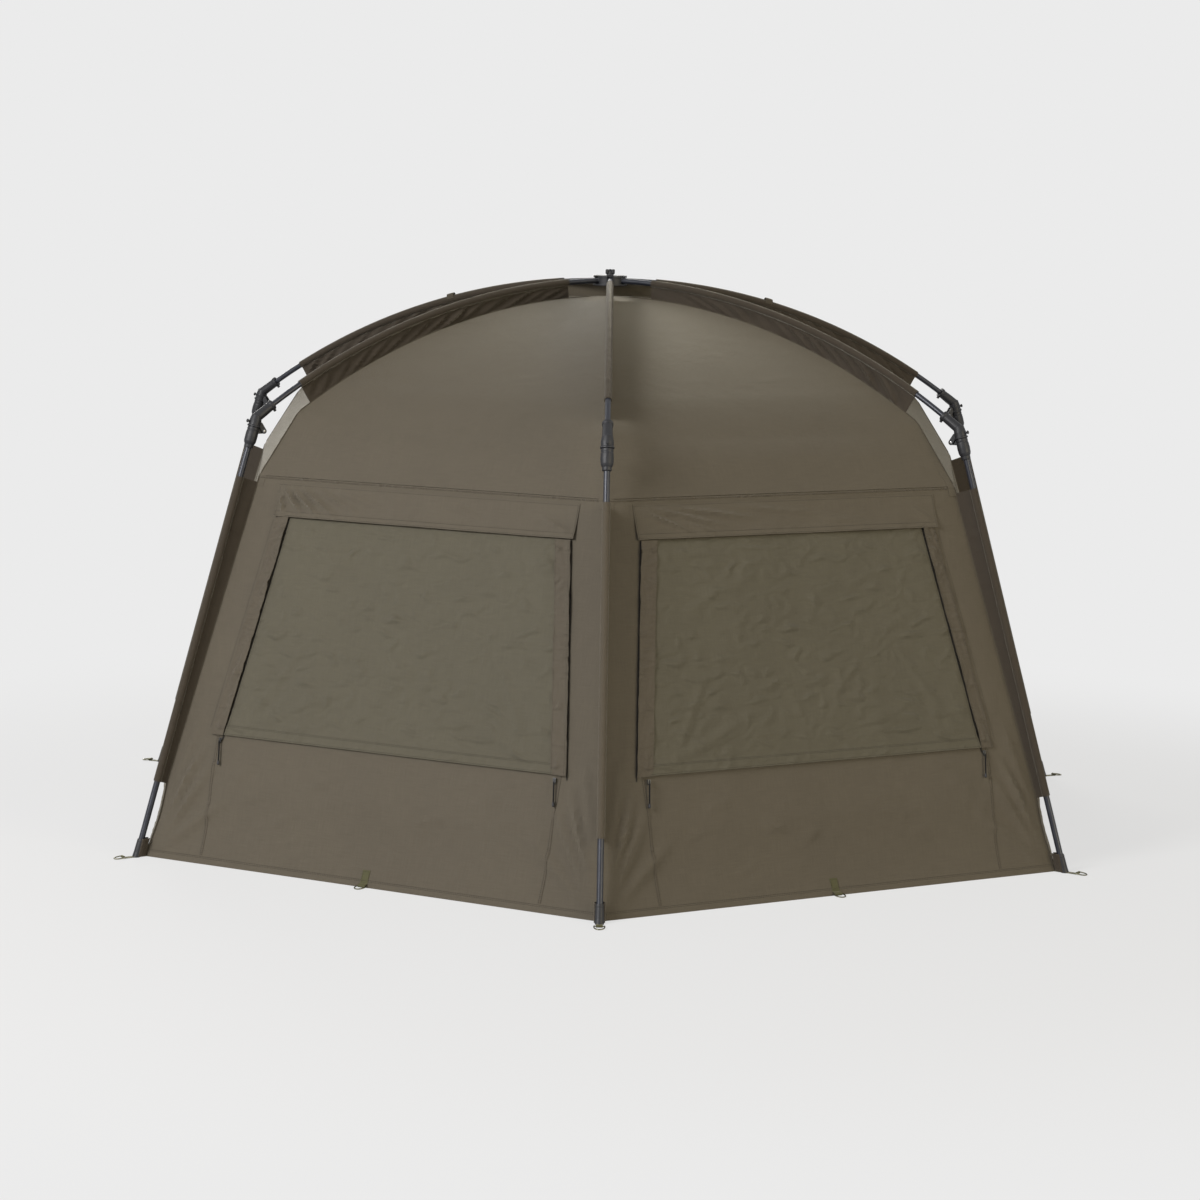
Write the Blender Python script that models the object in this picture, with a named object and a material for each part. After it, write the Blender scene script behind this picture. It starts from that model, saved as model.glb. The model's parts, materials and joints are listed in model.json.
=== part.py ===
import math

import bmesh
import bpy
from mathutils import Matrix, Vector

# A five-legged pop-up shelter. Metres, +Z up, the rear leg towards -Y and the door towards +Y.
# The origin lies on the ground under the middle of the footprint.

# Driving sizes of the frame
PIN_HEIGHT = 1.317
PIN_RADIUS_FROM_AXIS = 0.032
SPLIT_RADIUS_FROM_AXIS = 0.978
SPLIT_HEIGHT = 0.982
FOOT_RADIUS_FROM_AXIS = 1.276
MIDDLE_LEG_ANGLE = math.radians(56.76)
FRONT_LEG_ANGLE = math.radians(112.07)
UPPER_POLE_DIAMETER = 0.013
LOWER_POLE_DIAMETER = 0.014

# Driving sizes of the fabric. It hangs inside the poles, so it is set out from them.
HEM_INSET = 0.020
SEAM_INSET = 0.050
SEAM_DROP = 0.112
RIDGE_START_RADIUS = 0.117
RIDGE_START_DROP = 0.0388
RIDGE_END_DROP = 0.0670
RIDGE_END_INSET = 0.130
ROOF_TOP_DROP = 0.029
FABRIC = 0.002
SLEEVE_FABRIC = 0.0015

# Clearances
GAP = 0.0003
PIN_GAP = 0.0003
OVERRUN = 0.004

# Numbers of steps round and along
SIDES_ROUND = 14
SIDES_SMALL = 8
SIDES_POLE = 10
SIDES_RING = 6
SIDES_SLEEVE = 8
RIDGE_STEPS = 5
SLEEVE_STEPS = 12
SHARP_ANGLE = math.radians(35.0)

LEGS = {
    "rear": 0.0,
    "mid_left": -MIDDLE_LEG_ANGLE,
    "mid_right": MIDDLE_LEG_ANGLE,
    "front_left": -FRONT_LEG_ANGLE,
    "front_right": FRONT_LEG_ANGLE,
}
LEGS_IN_ORDER = ("front_right", "mid_right", "rear", "mid_left", "front_left")

# Colours: red, green, blue, roughness, metallic
FINISHES = {
    "plastic": ((0.030, 0.031, 0.033), 0.45, 0.0),
    "pole": ((0.060, 0.067, 0.080), 0.35, 0.9),
    "canopy": ((0.125, 0.105, 0.077), 0.85, 0.0),
    "canopy_side": ((0.105, 0.087, 0.058), 0.85, 0.0),
    "sleeve": ((0.070, 0.055, 0.038), 0.88, 0.0),
    "cover": ((0.115, 0.104, 0.072), 0.85, 0.0),
    "zip": ((0.012, 0.012, 0.012), 0.5, 0.0),
    "ring": ((0.45, 0.44, 0.42), 0.3, 1.0),
}

# Frame lines that follow from the driving sizes, as (distance from the hub axis, height)
PIN_POINT = Vector((PIN_RADIUS_FROM_AXIS, PIN_HEIGHT))
SPLIT_POINT = Vector((SPLIT_RADIUS_FROM_AXIS, SPLIT_HEIGHT))
FOOT_POINT = Vector((FOOT_RADIUS_FROM_AXIS, 0.0))
DOWN_LEG = (FOOT_POINT - SPLIT_POINT).normalized()
OUT_OF_LEG = Vector((-DOWN_LEG.y, DOWN_LEG.x))

# The canopy's hem and seam under the lower poles, and where each ridge leaves its arc
SEAM_HEIGHT = SPLIT_HEIGHT - SEAM_DROP
POLE_AT_SEAM = SPLIT_POINT.lerp(FOOT_POINT, SEAM_DROP / SPLIT_HEIGHT)
SEAM_POINT = POLE_AT_SEAM - Vector((SEAM_INSET, 0.0))
HEM_POINT = FOOT_POINT - Vector((HEM_INSET, 0.0))
RIDGE_END_RADIUS = SEAM_POINT.x - RIDGE_END_INSET

# Peg rings and the loops that hold them
LOOP_BORE_RADIUS = 0.0016
LOOP_RADIUS = 0.0034
LOOP_LENGTH = 0.015
RING_WIRE_RADIUS = 0.0012
RING_BAR_LENGTH = 0.021
RING_REACH = 0.020
RING_STEPS = 10
RING_BOW_SHARE = 0.7
FOOT_LOOP_REACH = 0.034
HEM_LOOP_REACH = LOOP_RADIUS + GAP
STRAP_HEIGHT_SHARES = (0.5, 1.5)
TAB_WIDTH = 0.020
TAB_HEIGHT = 0.036
TAB_THICKNESS = 0.0015

# The footprint's middle puts the hub axis behind the origin's far side
REAR_REACH = FOOT_RADIUS_FROM_AXIS + FOOT_LOOP_REACH + RING_REACH
FRONT_REACH = REAR_REACH * -math.cos(FRONT_LEG_ANGLE)
HUB_Y = (REAR_REACH - FRONT_REACH) / 2


# Scene and mesh helpers

WELD = 0.00002


def clear_scene():
    for obj in list(bpy.data.objects):
        bpy.data.objects.remove(obj)


def material_for(name, finish):
    colour, roughness, metallic = FINISHES[finish]
    mat = bpy.data.materials.new(name)
    mat.use_nodes = True
    shader = mat.node_tree.nodes["Principled BSDF"]
    shader.inputs["Base Color"].default_value = (*colour, 1.0)
    shader.inputs["Roughness"].default_value = roughness
    shader.inputs["Metallic"].default_value = metallic
    return mat


def empty_frame(name, angle):
    frame = bpy.data.objects.new(name, None)
    frame.location = (0.0, HUB_Y, 0.0)
    frame.rotation_euler = (0.0, 0.0, angle)
    bpy.context.scene.collection.objects.link(frame)
    return frame


def mesh_of(bm, name):
    bmesh.ops.recalc_face_normals(bm, faces=bm.faces)
    mesh = bpy.data.meshes.new(name)
    bm.to_mesh(mesh)
    bm.free()
    return mesh


def smooth_round(mesh):
    mesh.shade_smooth()
    mesh.set_sharp_from_angle(angle=SHARP_ANGLE)


def add_object(name, mesh, frame, origin, finish):
    """Links one piece in its frame, with a material of its own named after it."""
    obj = bpy.data.objects.new(name, mesh)
    bpy.context.scene.collection.objects.link(obj)
    obj.parent = frame
    obj.location = origin
    smooth_round(mesh)
    if not mesh.materials:
        mesh.materials.append(None)
    obj.material_slots[0].link = "OBJECT"
    obj.material_slots[0].material = material_for(name, finish)
    return obj


def combined(base, others, operation):
    """Joins or cuts meshes with exact Booleans and returns one new mesh."""
    target = bpy.data.objects.new("target", base)
    bpy.context.scene.collection.objects.link(target)
    helpers = []
    for mesh in others:
        helper = bpy.data.objects.new("helper", mesh)
        bpy.context.scene.collection.objects.link(helper)
        helper.hide_render = True
        helper.display_type = "WIRE"
        modifier = target.modifiers.new("shape", "BOOLEAN")
        modifier.operation = operation
        modifier.solver = "EXACT"
        modifier.object = helper
        helpers.append(helper)
    bpy.context.view_layer.update()
    shaped = target.evaluated_get(bpy.context.evaluated_depsgraph_get())
    bm = bmesh.new()
    bm.from_mesh(shaped.data)
    for obj in [target, *helpers]:
        bpy.data.objects.remove(obj)
    bmesh.ops.remove_doubles(bm, verts=bm.verts, dist=WELD)
    bmesh.ops.dissolve_degenerate(bm, edges=bm.edges, dist=WELD)
    return mesh_of(bm, base.name)


def united(base, others):
    return combined(base, others, "UNION")


def cut(base, others):
    return combined(base, others, "DIFFERENCE")


def moved_to_origin(mesh, origin):
    mesh.transform(Matrix.Translation(-origin))
    return mesh


def leg_point(point, side=0.0):
    """A point of the leg's plane, given as (distance from the hub axis, height)."""
    return Vector((side, -point.x, point.y))


def leg_axis(direction):
    return Vector((0.0, -direction.x, direction.y))


def turned(profile, start, direction, sides, name):
    """A profile of (radius, distance along the axis) spun about the axis through start."""
    bm = bmesh.new()
    along = direction.normalized()
    across = along.orthogonal().normalized()
    points = [bm.verts.new(start + along * step + across * radius) for radius, step in profile]
    edges = [bm.edges.new(pair) for pair in zip(points, points[1:])]
    bmesh.ops.spin(
        bm,
        geom=points + edges,
        cent=start,
        axis=along,
        angle=math.tau,
        steps=sides,
        use_merge=True,
    )
    bmesh.ops.remove_doubles(bm, verts=bm.verts, dist=WELD)
    return mesh_of(bm, name)


def rod(start, end, radius, sides, name):
    length = (end - start).length
    profile = [(0.0, 0.0), (radius, 0.0), (radius, length), (0.0, length)]
    return turned(profile, start, end - start, sides, name)


def swept_loops(loops, closed, name):
    """Joins matching loops of points into one skin, with end faces unless the sweep is closed."""
    bm = bmesh.new()
    rings = [[bm.verts.new(point) for point in loop] for loop in loops]
    count = len(rings[0])
    pairs = list(zip(rings, rings[1:]))
    if closed:
        pairs.append((rings[-1], rings[0]))
    for near, far in pairs:
        for i in range(count):
            j = (i + 1) % count
            bm.faces.new((near[i], near[j], far[j], far[i]))
    if not closed:
        bm.faces.new(rings[0])
        bm.faces.new(rings[-1])
    return mesh_of(bm, name)


def circle_loop(centre, first, second, radius, sides):
    turn = math.tau / sides
    return [
        centre + first * (radius * math.cos(turn * i)) + second * (radius * math.sin(turn * i))
        for i in range(sides)
    ]


def tube_through(path, radius, sides, plane_normal, closed, name):
    """A round bar along a flat path whose plane has the given normal."""
    loops = []
    last = len(path) - 1
    for i, point in enumerate(path):
        before = path[i - 1] if i > 0 or closed else path[i]
        after = path[(i + 1) % len(path)] if i < last or closed else path[i]
        along = (after - before).normalized()
        loops.append(circle_loop(point, plane_normal, along.cross(plane_normal), radius, sides))
    return swept_loops(loops, closed, name)


def plate(outline, low, high, name):
    """A flat plate with its outline in the leg's plane, from side low to side high."""
    return swept_loops(
        [[leg_point(point, side) for point in outline] for side in (low, high)], False, name
    )


def block(corners_low, corners_high, name):
    return swept_loops([corners_low, corners_high], False, name)


# Lines of the upper pole and of the ridge under it


def arc_through(first, second):
    """Centre height and radius of the arc about the hub axis through two points."""
    rise = first.length_squared - second.length_squared
    centre = rise / (2 * (first.y - second.y))
    return centre, math.hypot(first.x, first.y - centre)


def on_arc(distance, centre, radius):
    return Vector((distance, centre + math.sqrt(radius**2 - distance**2)))


def pole_arc():
    return arc_through(PIN_POINT, elbow_corner())


def ridge_arc():
    start = on_arc(RIDGE_START_RADIUS, *pole_arc()) - Vector((0.0, RIDGE_START_DROP))
    end = on_arc(RIDGE_END_RADIUS, *pole_arc()) - Vector((0.0, RIDGE_END_DROP))
    return arc_through(start, end)


# Hub

HUB_RADIUS = 0.0415
HUB_PLATE = 0.005
HUB_CORE_RADIUS = 0.0385
HUB_TOP_CLEARANCE = 0.0012
HUB_SLOT_CLEARANCE = 0.0007
HUB_SLOT_BACK_CLEARANCE = 0.0021
HUB_PIN_RADIUS = 0.002
KNOB_STEM_RADIUS = 0.0085
KNOB_STEM_HEIGHT = 0.006
KNOB_LOBE_RADIUS = 0.0042
KNOB_LOBE_REACH = 0.0085
KNOB_HEIGHT = 0.015
KNOB_LOBES = 3


def hub_levels():
    """Heights of the lower plate's foot and top, and of the upper plate's foot."""
    centre, radius = pole_arc()
    edge = on_arc(HUB_RADIUS, centre, radius)
    floor = edge.y - UPPER_POLE_DIAMETER / 2 - GAP
    ceiling = PIN_HEIGHT + UPPER_POLE_DIAMETER / 2 + HUB_TOP_CLEARANCE
    return floor - HUB_PLATE, floor, ceiling


def hub_slot(angle, low, high):
    """A cutter for one pole's slot, open at the rim and upwards."""
    half = UPPER_POLE_DIAMETER / 2 + HUB_SLOT_CLEARANCE
    back = PIN_RADIUS_FROM_AXIS - UPPER_POLE_DIAMETER / 2 - HUB_SLOT_BACK_CLEARANCE
    front = HUB_RADIUS + OVERRUN
    turn = Matrix.Rotation(angle, 4, "Z")
    outline = ((-half, -back), (half, -back), (half, -front), (-half, -front))
    corners = [[turn @ Vector((x, y, z)) for x, y in outline] for z in (low, high)]
    return block(corners[0], corners[1], "hub_slot")


def build_hub(frame):
    bottom, floor, ceiling = hub_levels()
    up = Vector((0.0, 0.0, 1.0))
    spool = [
        (0.0, bottom),
        (HUB_RADIUS, bottom),
        (HUB_RADIUS, floor),
        (HUB_CORE_RADIUS, floor),
        (HUB_CORE_RADIUS, ceiling),
        (0.0, ceiling),
    ]
    base = turned(spool, Vector(), up, 2 * SIDES_ROUND, "hub_base")
    base = cut(base, [hub_slot(angle, floor, ceiling + OVERRUN) for angle in LEGS.values()])
    reach = UPPER_POLE_DIAMETER / 2 + HUB_SLOT_CLEARANCE + OVERRUN / 2
    pins = []
    for angle in LEGS.values():
        turn = Matrix.Rotation(angle, 4, "Z")
        ends = [turn @ leg_point(PIN_POINT, side) for side in (-reach, reach)]
        pins.append(rod(ends[0], ends[1], HUB_PIN_RADIUS, SIDES_SMALL, "hub_pin"))
    add_object("hub_base", united(base, pins), frame, Vector(), "plastic")

    cap_foot = ceiling + GAP
    cap_top = cap_foot + HUB_PLATE
    disc = rod(up * cap_foot, up * cap_top, HUB_RADIUS, 2 * SIDES_ROUND, "hub_top")
    slots = [hub_slot(angle, cap_foot - OVERRUN, cap_top + OVERRUN) for angle in LEGS.values()]
    add_object("hub_top", cut(disc, slots), frame, Vector(), "plastic")

    foot = cap_top + GAP
    stem = rod(up * foot, up * (foot + KNOB_STEM_HEIGHT), KNOB_STEM_RADIUS, SIDES_ROUND, "hub_knob")
    lobes = []
    for i in range(KNOB_LOBES):
        turn = Matrix.Rotation(math.tau * i / KNOB_LOBES, 4, "Z")
        low = turn @ Vector((0.0, KNOB_LOBE_REACH, foot + KNOB_STEM_HEIGHT / 2))
        high = turn @ Vector((0.0, KNOB_LOBE_REACH, foot + KNOB_HEIGHT))
        lobes.append(rod(low, high, KNOB_LOBE_RADIUS, SIDES_SMALL, "knob_lobe"))
    add_object("hub_knob", united(stem, lobes), frame, Vector(), "plastic")


# Elbow between the two poles

ELBOW_RISE = 0.023
SOCKET_LENGTH = 0.052
SOCKET_RADIUS = 0.011
SOCKET_MOUTH_RADIUS = 0.0125
SOCKET_MOUTH_LENGTH = 0.008
SOCKET_GRIP = 0.034
SOCKET_BOSS_RADIUS = 0.0035
SOCKET_BOSS_REACH = 0.017
COLLAR_RADIUS = 0.014
COLLAR_NECK_RADIUS = 0.0118
COLLAR_NECK_SHARE = 0.35
FLANGE_RADIUS = 0.0158
FLANGE_HEIGHT = 0.004
BARREL_TOP_RADIUS = 0.0135
BARREL_RADIUS = 0.0143
BARREL_LENGTH = 0.040
BARREL_RING_RADIUS = 0.0105
BARREL_RING_LENGTH = 0.010
BARREL_BULGE_SHARE = 0.55
BARREL_BOTTOM_SHARE = 0.88
LOWER_SOCKET_CLOSED_END = 0.012
HINGE_INSET = 0.025
HINGE_DROP = 0.0025
EAR_RADIUS = 0.006
EAR_HALF = 0.004
EAR_TURNS = (90, 130, 170, 210, 250)
LUG_TURNS = (290, 250, 210, 170, 130)
LUG_HALF = 0.0083
SLOT_HALF = EAR_HALF + GAP
SLOT_BACK_SHARE = 0.72
ELBOW_PIN_RADIUS = 0.002
ELBOW_PIN_HEAD_RADIUS = 0.0036
ELBOW_PIN_HEAD = 0.0014
BUTTON_RADIUS = 0.0025
BUTTON_HEAD_RADIUS = 0.0042
BUTTON_HEAD = 0.003
BUTTON_EDGE_SHARE = 0.65
BUTTON_RISE = 0.0105
BUTTON_TIP = 0.008
BUTTON_STAND_OFF = 0.0045
BUTTON_TRAVEL = 0.0035


def elbow_corner():
    return SPLIT_POINT - DOWN_LEG * ELBOW_RISE


def elbow_hinge():
    return SPLIT_POINT - OUT_OF_LEG * HINGE_INSET + DOWN_LEG * HINGE_DROP


def socket_mouth():
    """The pole enters the elbow's upper socket at this point of its arc."""
    corner = elbow_corner()
    centre, radius = pole_arc()
    steps = 2 * math.asin(SOCKET_LENGTH / (2 * radius))
    angle = math.atan2(corner.x, corner.y - centre) - steps
    return Vector((radius * math.sin(angle), centre + radius * math.cos(angle)))


def around_hinge(angle, radius):
    """A point round the elbow's pin, with angle 0 straight out of the leg."""
    out = OUT_OF_LEG * (radius * math.cos(angle))
    return elbow_hinge() + out - DOWN_LEG * (radius * math.sin(angle))


def in_elbow(out, down):
    return SPLIT_POINT + OUT_OF_LEG * out + DOWN_LEG * down


def across_rod(point, reach, radius, name):
    return rod(leg_point(point, -reach), leg_point(point, reach), radius, SIDES_SMALL, name)


def button_line():
    """Where the button's stem crosses the collar's axis, and the way out along it."""
    return in_elbow(0.0, -BUTTON_RISE), OUT_OF_LEG


def elbow_upper_mesh():
    corner = elbow_corner()
    mouth = socket_mouth()
    up_pole = (mouth - corner).normalized()
    into_leg = leg_axis(DOWN_LEG)
    shoulder = -ELBOW_RISE * (1 - COLLAR_NECK_SHARE)
    collar_profile = [
        (0.0, -COLLAR_NECK_RADIUS / 2),
        (COLLAR_NECK_RADIUS, -COLLAR_NECK_RADIUS / 2),
        (COLLAR_RADIUS, ELBOW_RISE * COLLAR_NECK_SHARE),
        (COLLAR_RADIUS, ELBOW_RISE - FLANGE_HEIGHT),
        (FLANGE_RADIUS, ELBOW_RISE - FLANGE_HEIGHT),
        (FLANGE_RADIUS, ELBOW_RISE - GAP),
        (0.0, ELBOW_RISE - GAP),
    ]
    collar = turned(collar_profile, leg_point(corner), into_leg, SIDES_ROUND, "elbow_upper")
    socket = turned(
        [
            (0.0, 0.0),
            (SOCKET_RADIUS, 0.0),
            (SOCKET_RADIUS, SOCKET_LENGTH - SOCKET_MOUTH_LENGTH),
            (SOCKET_MOUTH_RADIUS, SOCKET_LENGTH - SOCKET_MOUTH_LENGTH),
            (SOCKET_MOUTH_RADIUS, SOCKET_LENGTH),
            (0.0, SOCKET_LENGTH),
        ],
        leg_point(corner),
        leg_axis(up_pole),
        SIDES_ROUND,
        "socket",
    )
    knuckle = bmesh.new()
    bmesh.ops.create_icosphere(
        knuckle, subdivisions=2, radius=COLLAR_NECK_RADIUS, matrix=Matrix.Translation(leg_point(corner))
    )
    under = Vector((-up_pole.y, up_pole.x))
    boss_foot = mouth - up_pole * (SOCKET_MOUTH_LENGTH / 2)
    boss = rod(
        leg_point(boss_foot + under * SOCKET_RADIUS / 2),
        leg_point(boss_foot + under * SOCKET_BOSS_REACH),
        SOCKET_BOSS_RADIUS,
        SIDES_SMALL,
        "boss",
    )
    lug_outline = [around_hinge(math.radians(turn), EAR_RADIUS) for turn in LUG_TURNS]
    lug_outline += [
        in_elbow(-COLLAR_RADIUS, shoulder),
        in_elbow(-COLLAR_RADIUS / 2, shoulder),
        in_elbow(-COLLAR_RADIUS / 2, -2 * GAP),
        in_elbow(-BARREL_RADIUS, -2 * GAP),
    ]
    lug = plate(lug_outline, -LUG_HALF, LUG_HALF, "lug")
    body = united(collar, [socket, mesh_of(knuckle, "knuckle"), boss, lug])

    slot_top = EAR_RADIUS + 2 * GAP
    slot = plate(
        [
            in_elbow(-HINGE_INSET - 2 * EAR_RADIUS, -slot_top),
            in_elbow(-FLANGE_RADIUS * SLOT_BACK_SHARE, -slot_top),
            in_elbow(-FLANGE_RADIUS * SLOT_BACK_SHARE, HINGE_DROP + 2 * EAR_RADIUS),
            in_elbow(-HINGE_INSET - 2 * EAR_RADIUS, HINGE_DROP + 2 * EAR_RADIUS),
        ],
        -SLOT_HALF,
        SLOT_HALF,
        "slot",
    )
    bore = rod(
        leg_point(mouth - up_pole * (SOCKET_GRIP + GAP)),
        leg_point(mouth + up_pole * OVERRUN),
        UPPER_POLE_DIAMETER / 2 + GAP,
        SIDES_ROUND,
        "bore",
    )
    pin_hole = across_rod(elbow_hinge(), LUG_HALF + OVERRUN, ELBOW_PIN_RADIUS + PIN_GAP, "pin_hole")
    centre, out = button_line()
    button_hole = rod(
        leg_point(centre + out * (BUTTON_TIP - BUTTON_TRAVEL - GAP)),
        leg_point(centre + out * (FLANGE_RADIUS + OVERRUN)),
        BUTTON_RADIUS + GAP,
        SIDES_SMALL,
        "button_hole",
    )
    return cut(body, [slot, bore, pin_hole, button_hole])


def elbow_lower_mesh():
    into_leg = leg_axis(DOWN_LEG)
    profile = [
        (0.0, 0.0),
        (BARREL_TOP_RADIUS, 0.0),
        (BARREL_RADIUS, BARREL_LENGTH * BARREL_BULGE_SHARE),
        (BARREL_TOP_RADIUS, BARREL_LENGTH * BARREL_BOTTOM_SHARE),
        (BARREL_RING_RADIUS, BARREL_LENGTH),
        (BARREL_RING_RADIUS, BARREL_LENGTH + BARREL_RING_LENGTH),
        (0.0, BARREL_LENGTH + BARREL_RING_LENGTH),
    ]
    barrel = turned(profile, leg_point(SPLIT_POINT), into_leg, SIDES_ROUND, "elbow_lower")
    ear_outline = [around_hinge(math.radians(turn), EAR_RADIUS) for turn in EAR_TURNS]
    ear_outline += [
        in_elbow(-BARREL_TOP_RADIUS / 2, HINGE_DROP + 2 * EAR_RADIUS),
        in_elbow(-BARREL_TOP_RADIUS / 2, GAP),
        in_elbow(-BARREL_TOP_RADIUS, GAP),
    ]
    ear = plate(ear_outline, -EAR_HALF, EAR_HALF, "ear")
    head_start = LUG_HALF + GAP
    head_end = head_start + ELBOW_PIN_HEAD
    pin = across_rod(elbow_hinge(), head_start + ELBOW_PIN_HEAD / 2, ELBOW_PIN_RADIUS, "pin")
    heads = []
    for side in (-1, 1):
        ends = [leg_point(elbow_hinge(), side * reach) for reach in (head_start, head_end)]
        heads.append(rod(ends[0], ends[1], ELBOW_PIN_HEAD_RADIUS, SIDES_SMALL, "pin_head"))
    body = united(barrel, [ear, pin, *heads])
    bore = rod(
        leg_point(in_elbow(0.0, LOWER_SOCKET_CLOSED_END)),
        leg_point(in_elbow(0.0, BARREL_LENGTH + BARREL_RING_LENGTH + OVERRUN)),
        LOWER_POLE_DIAMETER / 2 + GAP,
        SIDES_ROUND,
        "bore",
    )
    return cut(body, [bore])


def button_mesh():
    centre, out = button_line()
    head_start = COLLAR_RADIUS + BUTTON_STAND_OFF
    profile = [
        (0.0, BUTTON_TIP),
        (BUTTON_RADIUS, BUTTON_TIP),
        (BUTTON_RADIUS, head_start),
        (BUTTON_HEAD_RADIUS, head_start),
        (BUTTON_HEAD_RADIUS, head_start + BUTTON_HEAD * BUTTON_EDGE_SHARE),
        (BUTTON_RADIUS, head_start + BUTTON_HEAD),
        (0.0, head_start + BUTTON_HEAD),
    ]
    return turned(profile, leg_point(centre), leg_axis(out), SIDES_SMALL, "release_button")


# Poles

FOOT_CAP_RADIUS = 0.0100
FOOT_CAP_LENGTH = 0.040


def upper_pole_mesh():
    centre, radius = pole_arc()
    mouth = socket_mouth()
    corner = elbow_corner()
    distances = [PIN_RADIUS_FROM_AXIS, *sleeve_distances()]
    path = [on_arc(distance, centre, radius) for distance in distances]
    path += [mouth, mouth + (corner - mouth).normalized() * SOCKET_GRIP]
    half = UPPER_POLE_DIAMETER / 2
    side = Vector((1.0, 0.0, 0.0))
    points = [leg_point(point) for point in path]
    pole = tube_through(points, half, SIDES_POLE, side, False, "upper_pole")
    wide = half + GAP
    eye = rod(leg_point(PIN_POINT, -wide), leg_point(PIN_POINT, wide), half, SIDES_ROUND, "eye")
    pin_hole = across_rod(PIN_POINT, wide + OVERRUN, HUB_PIN_RADIUS + PIN_GAP, "pin_hole")
    return cut(united(pole, [eye]), [pin_hole])


def foot_loop_centre():
    return FOOT_POINT + Vector((FOOT_LOOP_REACH, LOOP_RADIUS))


def ring_loop(centre_point, name):
    """The solid and the bore of a fabric loop round a ring's bar."""
    tube = across_rod(centre_point, LOOP_LENGTH / 2, LOOP_RADIUS, name)
    bore = across_rod(centre_point, LOOP_LENGTH, LOOP_BORE_RADIUS, "loop_bore")
    return tube, bore


def lower_pole_mesh():
    top = in_elbow(0.0, LOWER_SOCKET_CLOSED_END + GAP)
    past_foot = FOOT_POINT + DOWN_LEG * FOOT_CAP_RADIUS
    pole = rod(leg_point(top), leg_point(past_foot), LOWER_POLE_DIAMETER / 2, SIDES_POLE, "lower_pole")
    cap_top = leg_point(FOOT_POINT - DOWN_LEG * FOOT_CAP_LENGTH)
    cap = rod(cap_top, leg_point(past_foot), FOOT_CAP_RADIUS, SIDES_ROUND, "cap")
    loop_centre = foot_loop_centre()
    loop, bore = ring_loop(loop_centre, "foot_loop")
    strap = plate(
        [
            Vector((FOOT_POINT.x, 0.0)),
            Vector((loop_centre.x - LOOP_RADIUS / 2, 0.0)),
            Vector((loop_centre.x - LOOP_RADIUS / 2, TAB_THICKNESS)),
            Vector((FOOT_POINT.x, TAB_THICKNESS)),
        ],
        -LOOP_LENGTH / 2 + GAP,
        LOOP_LENGTH / 2 - GAP,
        "foot_strap",
    )
    reach = FOOT_CAP_RADIUS + OVERRUN
    ground = plate(
        [
            Vector((FOOT_POINT.x - 2 * reach, -2 * reach)),
            Vector((FOOT_POINT.x + 2 * reach, -2 * reach)),
            Vector((FOOT_POINT.x + 2 * reach, 0.0)),
            Vector((FOOT_POINT.x - 2 * reach, 0.0)),
        ],
        -2 * reach,
        2 * reach,
        "ground",
    )
    standing = cut(united(pole, [cap]), [ground])
    return cut(united(standing, [strap, loop]), [bore])


def ring_mesh(bar_height):
    """A D-shaped ring whose straight bar lies on the X axis and whose bow rests on the ground."""
    drop = bar_height - RING_WIRE_RADIUS
    tilt = math.asin(drop / RING_REACH)
    outward = Vector((0.0, -math.cos(tilt), -math.sin(tilt)))
    normal = Vector((0.0, -math.sin(tilt), math.cos(tilt)))
    half = RING_BAR_LENGTH / 2
    side = Vector((1.0, 0.0, 0.0))
    path = [side * -half, side * half]
    for i in range(1, RING_STEPS):
        turn = math.pi * i / RING_STEPS
        bow = RING_REACH * math.sin(turn) ** RING_BOW_SHARE
        path.append(side * (half * math.cos(turn)) + outward * bow)
    return tube_through(path, RING_WIRE_RADIUS, SIDES_RING, normal, True, "peg_ring")


# Sleeves with the fins that hang the canopy from the poles

SLEEVE_GAP = 0.0006
UPPER_SLEEVE_INSET = 0.007
UPPER_SLEEVE_START = RIDGE_START_RADIUS + UPPER_SLEEVE_INSET
UPPER_SLEEVE_END = RIDGE_END_RADIUS - OVERRUN
LOWER_SLEEVE_TOP = SEAM_HEIGHT - FABRIC
LOWER_SLEEVE_FOOT = 0.172
FIN_HALF = 0.0016
FIN_FOLD = 0.004
FIN_FOLDS = 3
FIN_MIDDLE_SHARE = 0.5
FIN_BORE_SHARES = (0.75, 0.5, -0.5, -0.75)


def fin_section(centre, inward, fin_reach, fold, bore_radius):
    """Matching outer and inner loops of a sleeve whose fin points inward."""
    side = Vector((1.0, 0.0, 0.0))
    outer_radius = bore_radius + SLEEVE_FABRIC
    half_angle = math.asin(FIN_HALF / outer_radius)
    outer, inner = [], []
    for i in range(SIDES_SLEEVE + 1):
        turn = half_angle + (math.tau - 2 * half_angle) * i / SIDES_SLEEVE
        way = inward * math.cos(turn) + side * math.sin(turn)
        outer.append(centre + way * outer_radius)
        inner.append(centre + way * bore_radius)
    middle = outer_radius + (fin_reach - outer_radius) * FIN_MIDDLE_SHARE
    reaches = (middle, fin_reach, fin_reach, middle)
    offsets = (fold - FIN_HALF, -FIN_HALF, FIN_HALF, fold + FIN_HALF)
    for reach, offset, lean_share in zip(reaches, offsets, FIN_BORE_SHARES):
        outer.append(centre + inward * reach + side * offset)
        turn = -half_angle * lean_share
        inner.append(centre + (inward * math.cos(turn) + side * math.sin(turn)) * bore_radius)
    return outer, inner


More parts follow.
